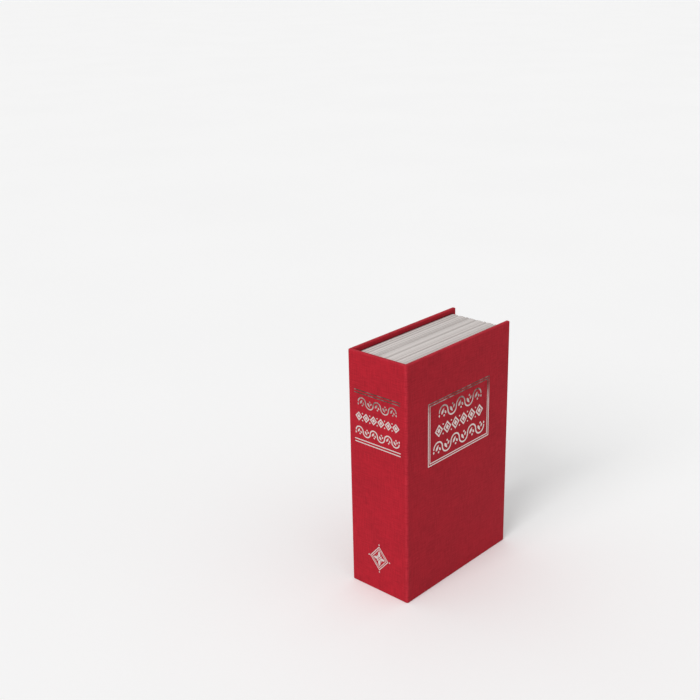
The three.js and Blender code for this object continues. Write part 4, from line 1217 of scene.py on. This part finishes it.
@dataclass
class Metalwork:
    """The cash box, its lid, hinge and lock, and the keys, with their edges softened as plating and paint do."""

    finishes: dict[str, Material]
    sharp_over: float = 35.0
    shortest: float = 0.03

    def build(self) -> None:
        """Softens and dresses every metal node, each group with its slot, its finish and its edges' widths."""
        sheet = {"box_tray": 0.12, "box_lid": 0.06, "hinge_leaf": 0.08, "strike_bracket": 0.12}
        fixings = {"lock_washer": 0.06, "lock_nut": 0.12, "lock_cam": 0.12, "cam_screw": 0.08}
        for slot, finish, widths in (
            ("black_steel", "black_steel", sheet),
            ("chrome", "chrome", {"lock_housing": 0.1}),
            ("zinc_steel", "zinc_steel", fixings),
            ("zinc_steel", "chrome", {"lock_plug": 0.08}),
            ("key_steel", "key_steel", {"key_1": 0.1, "key_2": 0.1}),
            ("brass", "brass", {f"lock_wafer_{number}": 0.05 for number in range(1, 5)}),
        ):
            for node, width in widths.items():
                self.soften(node, self.finishes[finish], width)

    def soften(self, node: str, finish: Material, width: float) -> None:
        """Shows a copy of a node with rounded edges in place of the node.

        Args:
            node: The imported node.
            finish: Its material.
            width: The edge's width in millimetres.
        """
        original = frame["nodes"][node]
        shape = bmesh.new()
        shape.from_mesh(original.data)
        bmesh.ops.remove_doubles(shape, verts=shape.verts, dist=MERGE)
        bmesh.ops.dissolve_limit(
            shape, angle_limit=math.radians(1), use_dissolve_boundaries=False, verts=shape.verts, edges=shape.edges
        )
        bmesh.ops.remove_doubles(shape, verts=shape.verts, dist=self.shortest * MM)
        bmesh.ops.dissolve_degenerate(shape, dist=MERGE, edges=shape.edges)
        weight = shape.edges.layers.float.new("bevel_weight_edge")
        for edge in shape.edges:
            sharp = edge.calc_face_angle(0) > math.radians(self.sharp_over)
            edge[weight] = float(sharp and self.room(edge) > width * MM)
        shade(shape, self.sharp_over)
        piece = add_piece(node + "_finished", shape, finish, original["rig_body"], [node])
        modifier = piece.modifiers.new("soft edges", "BEVEL")
        modifier.width = width * MM
        modifier.segments = 2
        modifier.limit_method = "WEIGHT"
        modifier.use_clamp_overlap = False
        modifier.harden_normals = True
        cut = piece.modifiers.new("triangles", "TRIANGULATE")
        cut.quad_method = "SHORTEST_DIAGONAL"
        cut.keep_custom_normals = True

    def room(self, edge: BMEdge) -> float:
        """Finds how much room an edge has to be rounded in.

        Args:
            edge: The edge.

        Returns:
            How near to it another corner or edge of its two faces comes, in metres.
        """
        beside = {near for face in edge.link_faces for near in face.edges} - {edge}
        pairs = [(corner, edge) for near in beside for corner in near.verts if corner not in edge.verts]
        pairs += [(end, near) for near in beside for end in edge.verts if end not in near.verts]
        nearest = math.inf
        for corner, line in pairs:
            start, end = (vertex.co for vertex in line.verts)
            share = intersect_point_line(corner.co, start, end)[1]
            nearest = min(nearest, (corner.co - start.lerp(end, min(max(share, 0), 1))).length)
        return nearest


@dataclass
class TurnedParts:
    """Round pieces spun smooth: the rivets' heads, the hinge pin and the wire of the key ring."""

    finishes: dict[str, Material]
    steps: int = 64
    sharp_over: float = 50.0
    head_height: float = 1.25
    pin_radius: float = 0.8
    pin_head: float = 0.8

    def build(self) -> None:
        """Builds the rivets, the pin and the ring."""
        for number in range(1, 5):
            self.rivet(f"tray_rivet_{number}")
        self.pin()
        self.ring()

    def spin(self, node: str, suffix: str, slot: str, shape: BMesh, centre: Vector, axis: Vector) -> None:
        """Spins a profile a full turn, closes it and shows it in place of a node.

        Args:
            node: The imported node.
            suffix: What the piece's name adds to the node's.
            slot: The record's material slot.
            shape: The profile's edges.
            centre: A point on the axis.
            axis: The axis.
        """
        bmesh.ops.spin(
            shape, geom=list(shape.edges), cent=centre, axis=axis, angle=2 * math.pi, steps=self.steps,
            use_merge=True, use_duplicate=False,
        )  # fmt: skip
        bmesh.ops.remove_doubles(shape, verts=shape.verts, dist=TOUCH)
        bmesh.ops.recalc_face_normals(shape, faces=shape.faces)
        shade(shape, self.sharp_over)
        add_piece(node + suffix, shape, self.finishes[slot], "case", [node])

    def rivet(self, node: str) -> None:
        """Builds a rivet as a dome on its shank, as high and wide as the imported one.

        Args:
            node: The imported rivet.
        """
        low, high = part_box(node)
        centre = (low + high) / 2
        radius = (high.x - low.x) / 2
        dome = self.head_height * MM
        shank = radius / 2
        head = [(0.0, 0.0), (0.28, 0.03), (0.5, 0.1), (0.7, 0.24)]
        head += [(0.86, 0.45), (0.96, 0.7), (1.0, 0.92), (0.98, 1.0)]
        profile = [(centre.x + r * radius, low.y + d * dome, centre.z) for r, d in head]
        profile += [(centre.x + shank, low.y + dome, centre.z), (centre.x + shank, high.y, centre.z)]
        profile.append((centre.x, high.y, centre.z))
        shape = bmesh.new()
        draw_line(shape, profile)
        self.spin(node, "_turned", "zinc_steel", shape, Vector((centre.x, 0, centre.z)), Vector((0, 1, 0)))

    def pin(self) -> None:
        """Builds the hinge pin with its two upset heads."""
        low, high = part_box("hinge_pin")
        centre = (low + high) / 2
        head = (high.x - low.x) / 2
        half = (high.z - low.z) / 2
        deep = self.pin_head * MM
        profile = [(0, half), (0.6 * head, half), (0.88 * head, half - 0.12 * deep), (head, half - 0.4 * deep)]
        profile += [(head, half - 0.85 * deep), (0.95 * head, half - deep), (self.pin_radius * MM, half - deep)]
        profile += [(r, -z) for r, z in reversed(profile)]
        shape = bmesh.new()
        draw_line(shape, [centre + Vector((r, 0, z)) for r, z in profile])
        self.spin("hinge_pin", "_turned", "zinc_steel", shape, centre, Vector((0, 0, 1)))

    def ring(self) -> None:
        """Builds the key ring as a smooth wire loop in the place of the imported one."""
        low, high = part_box("key_ring")
        centre = (low + high) / 2
        wire = (high.y - low.y) / 2
        radius = (high.x - low.x) / 2 - wire
        shape = bmesh.new()
        place = Matrix.Translation(centre + Vector((radius, 0, 0)))
        bmesh.ops.create_circle(shape, cap_ends=False, segments=16, radius=wire, matrix=place)
        self.spin("key_ring", "_wire", "key_steel", shape, centre, Vector((0, 1, 0)))


@dataclass
class Studio:
    """A pale floor, soft light and the camera at the photo's viewing angle."""

    camera_place: tuple[float, float, float] = (-562.08, -447.35, 434.29)
    camera_turn: tuple[float, float, float] = (1.21679, 0.02286, -0.82734)
    focal_pixels: float = 1084.5
    image: int = 700
    sensor: float = 36.0
    clip: tuple[float, float] = (0.01, 100.0)
    floor_reach: float = 20000.0
    floor_colour: str = "#e9e8e6"
    sky_colour: str = "#ffffff"
    sky_strength: float = 0.62
    backdrop: str = "#f4f3f1"
    sun_strength: float = 1.75
    sun_width: float = 35.0
    sun_towards: tuple[float, float, float] = (0.88, 0.12, -0.58)

    def build(self) -> None:
        """Builds floor, light and camera."""
        self.floor()
        self.sky()
        self.sun()
        self.camera()

    def floor(self) -> None:
        """Lays a wide pale floor under the book."""
        shape = bmesh.new()
        bmesh.ops.create_grid(shape, x_segments=1, y_segments=1, size=self.floor_reach * MM)
        add_mesh("floor", shape, StudioPaper("studio paper", self.floor_colour, 0.9).build())

    def sky(self) -> None:
        """Lights everything evenly, and shows a pale backdrop to the camera and in the metal."""
        world = bpy.data.worlds.new("studio")
        world.use_nodes = True
        bpy.context.scene.world = world
        tree = world.node_tree
        tree.nodes.clear()
        light = add_node(tree, "Background", {"Color": linear(self.sky_colour), "Strength": self.sky_strength})
        seen = add_node(tree, "Background", {"Color": linear(self.backdrop), "Strength": 1.0})
        mix = add_node(tree, "MixShader", {0: seen_rays(tree), 1: light, 2: seen})
        add_node(tree, "OutputWorld", {"Surface": mix})

    def sun(self) -> None:
        """Adds one broad key light from the spine's side."""
        data = bpy.data.lights.new("key", "SUN")
        data.energy = self.sun_strength
        data.angle = math.radians(self.sun_width)
        lamp = add_object("key", data)
        lamp.rotation_euler = Vector(self.sun_towards).to_track_quat("-Z", "Y").to_euler()

    def camera(self) -> None:
        """Sets the camera that was fitted to the book's corners in the photo."""
        data = bpy.data.cameras.new("camera")
        data.sensor_width = self.sensor
        data.lens = self.focal_pixels / self.image * self.sensor
        data.clip_start, data.clip_end = self.clip
        camera = add_object("camera", data)
        camera.location = Vector(self.camera_place) * MM
        camera.rotation_euler = Euler(self.camera_turn, "XYZ")
        bpy.context.scene.camera = camera


def dress_nodes(finishes: dict[str, Material]) -> None:
    """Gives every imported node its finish, also those that another piece is shown in place of.

    Args:
        finishes: The materials by the record's slots.
    """
    for part in frame["record"]["subparts"]:
        node = frame["nodes"][part["node"]]
        node.data.materials.clear()
        node.data.materials.append(finishes[part["material_slot"]])


def main() -> None:
    """Builds the studio, then the book from its cloth to its keys."""
    logging.basicConfig(level=logging.INFO, format="%(message)s")
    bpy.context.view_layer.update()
    bpy.context.scene.view_settings.view_transform = "Standard"
    Studio().build()
    finishes = build_finishes()
    dress_nodes(finishes)
    BookCase(finishes).build()
    Tooling(finishes).build()
    PageBlock(finishes).build()
    Metalwork(finishes).build()
    TurnedParts(finishes).build()


if __name__ == "__main__":
    main()
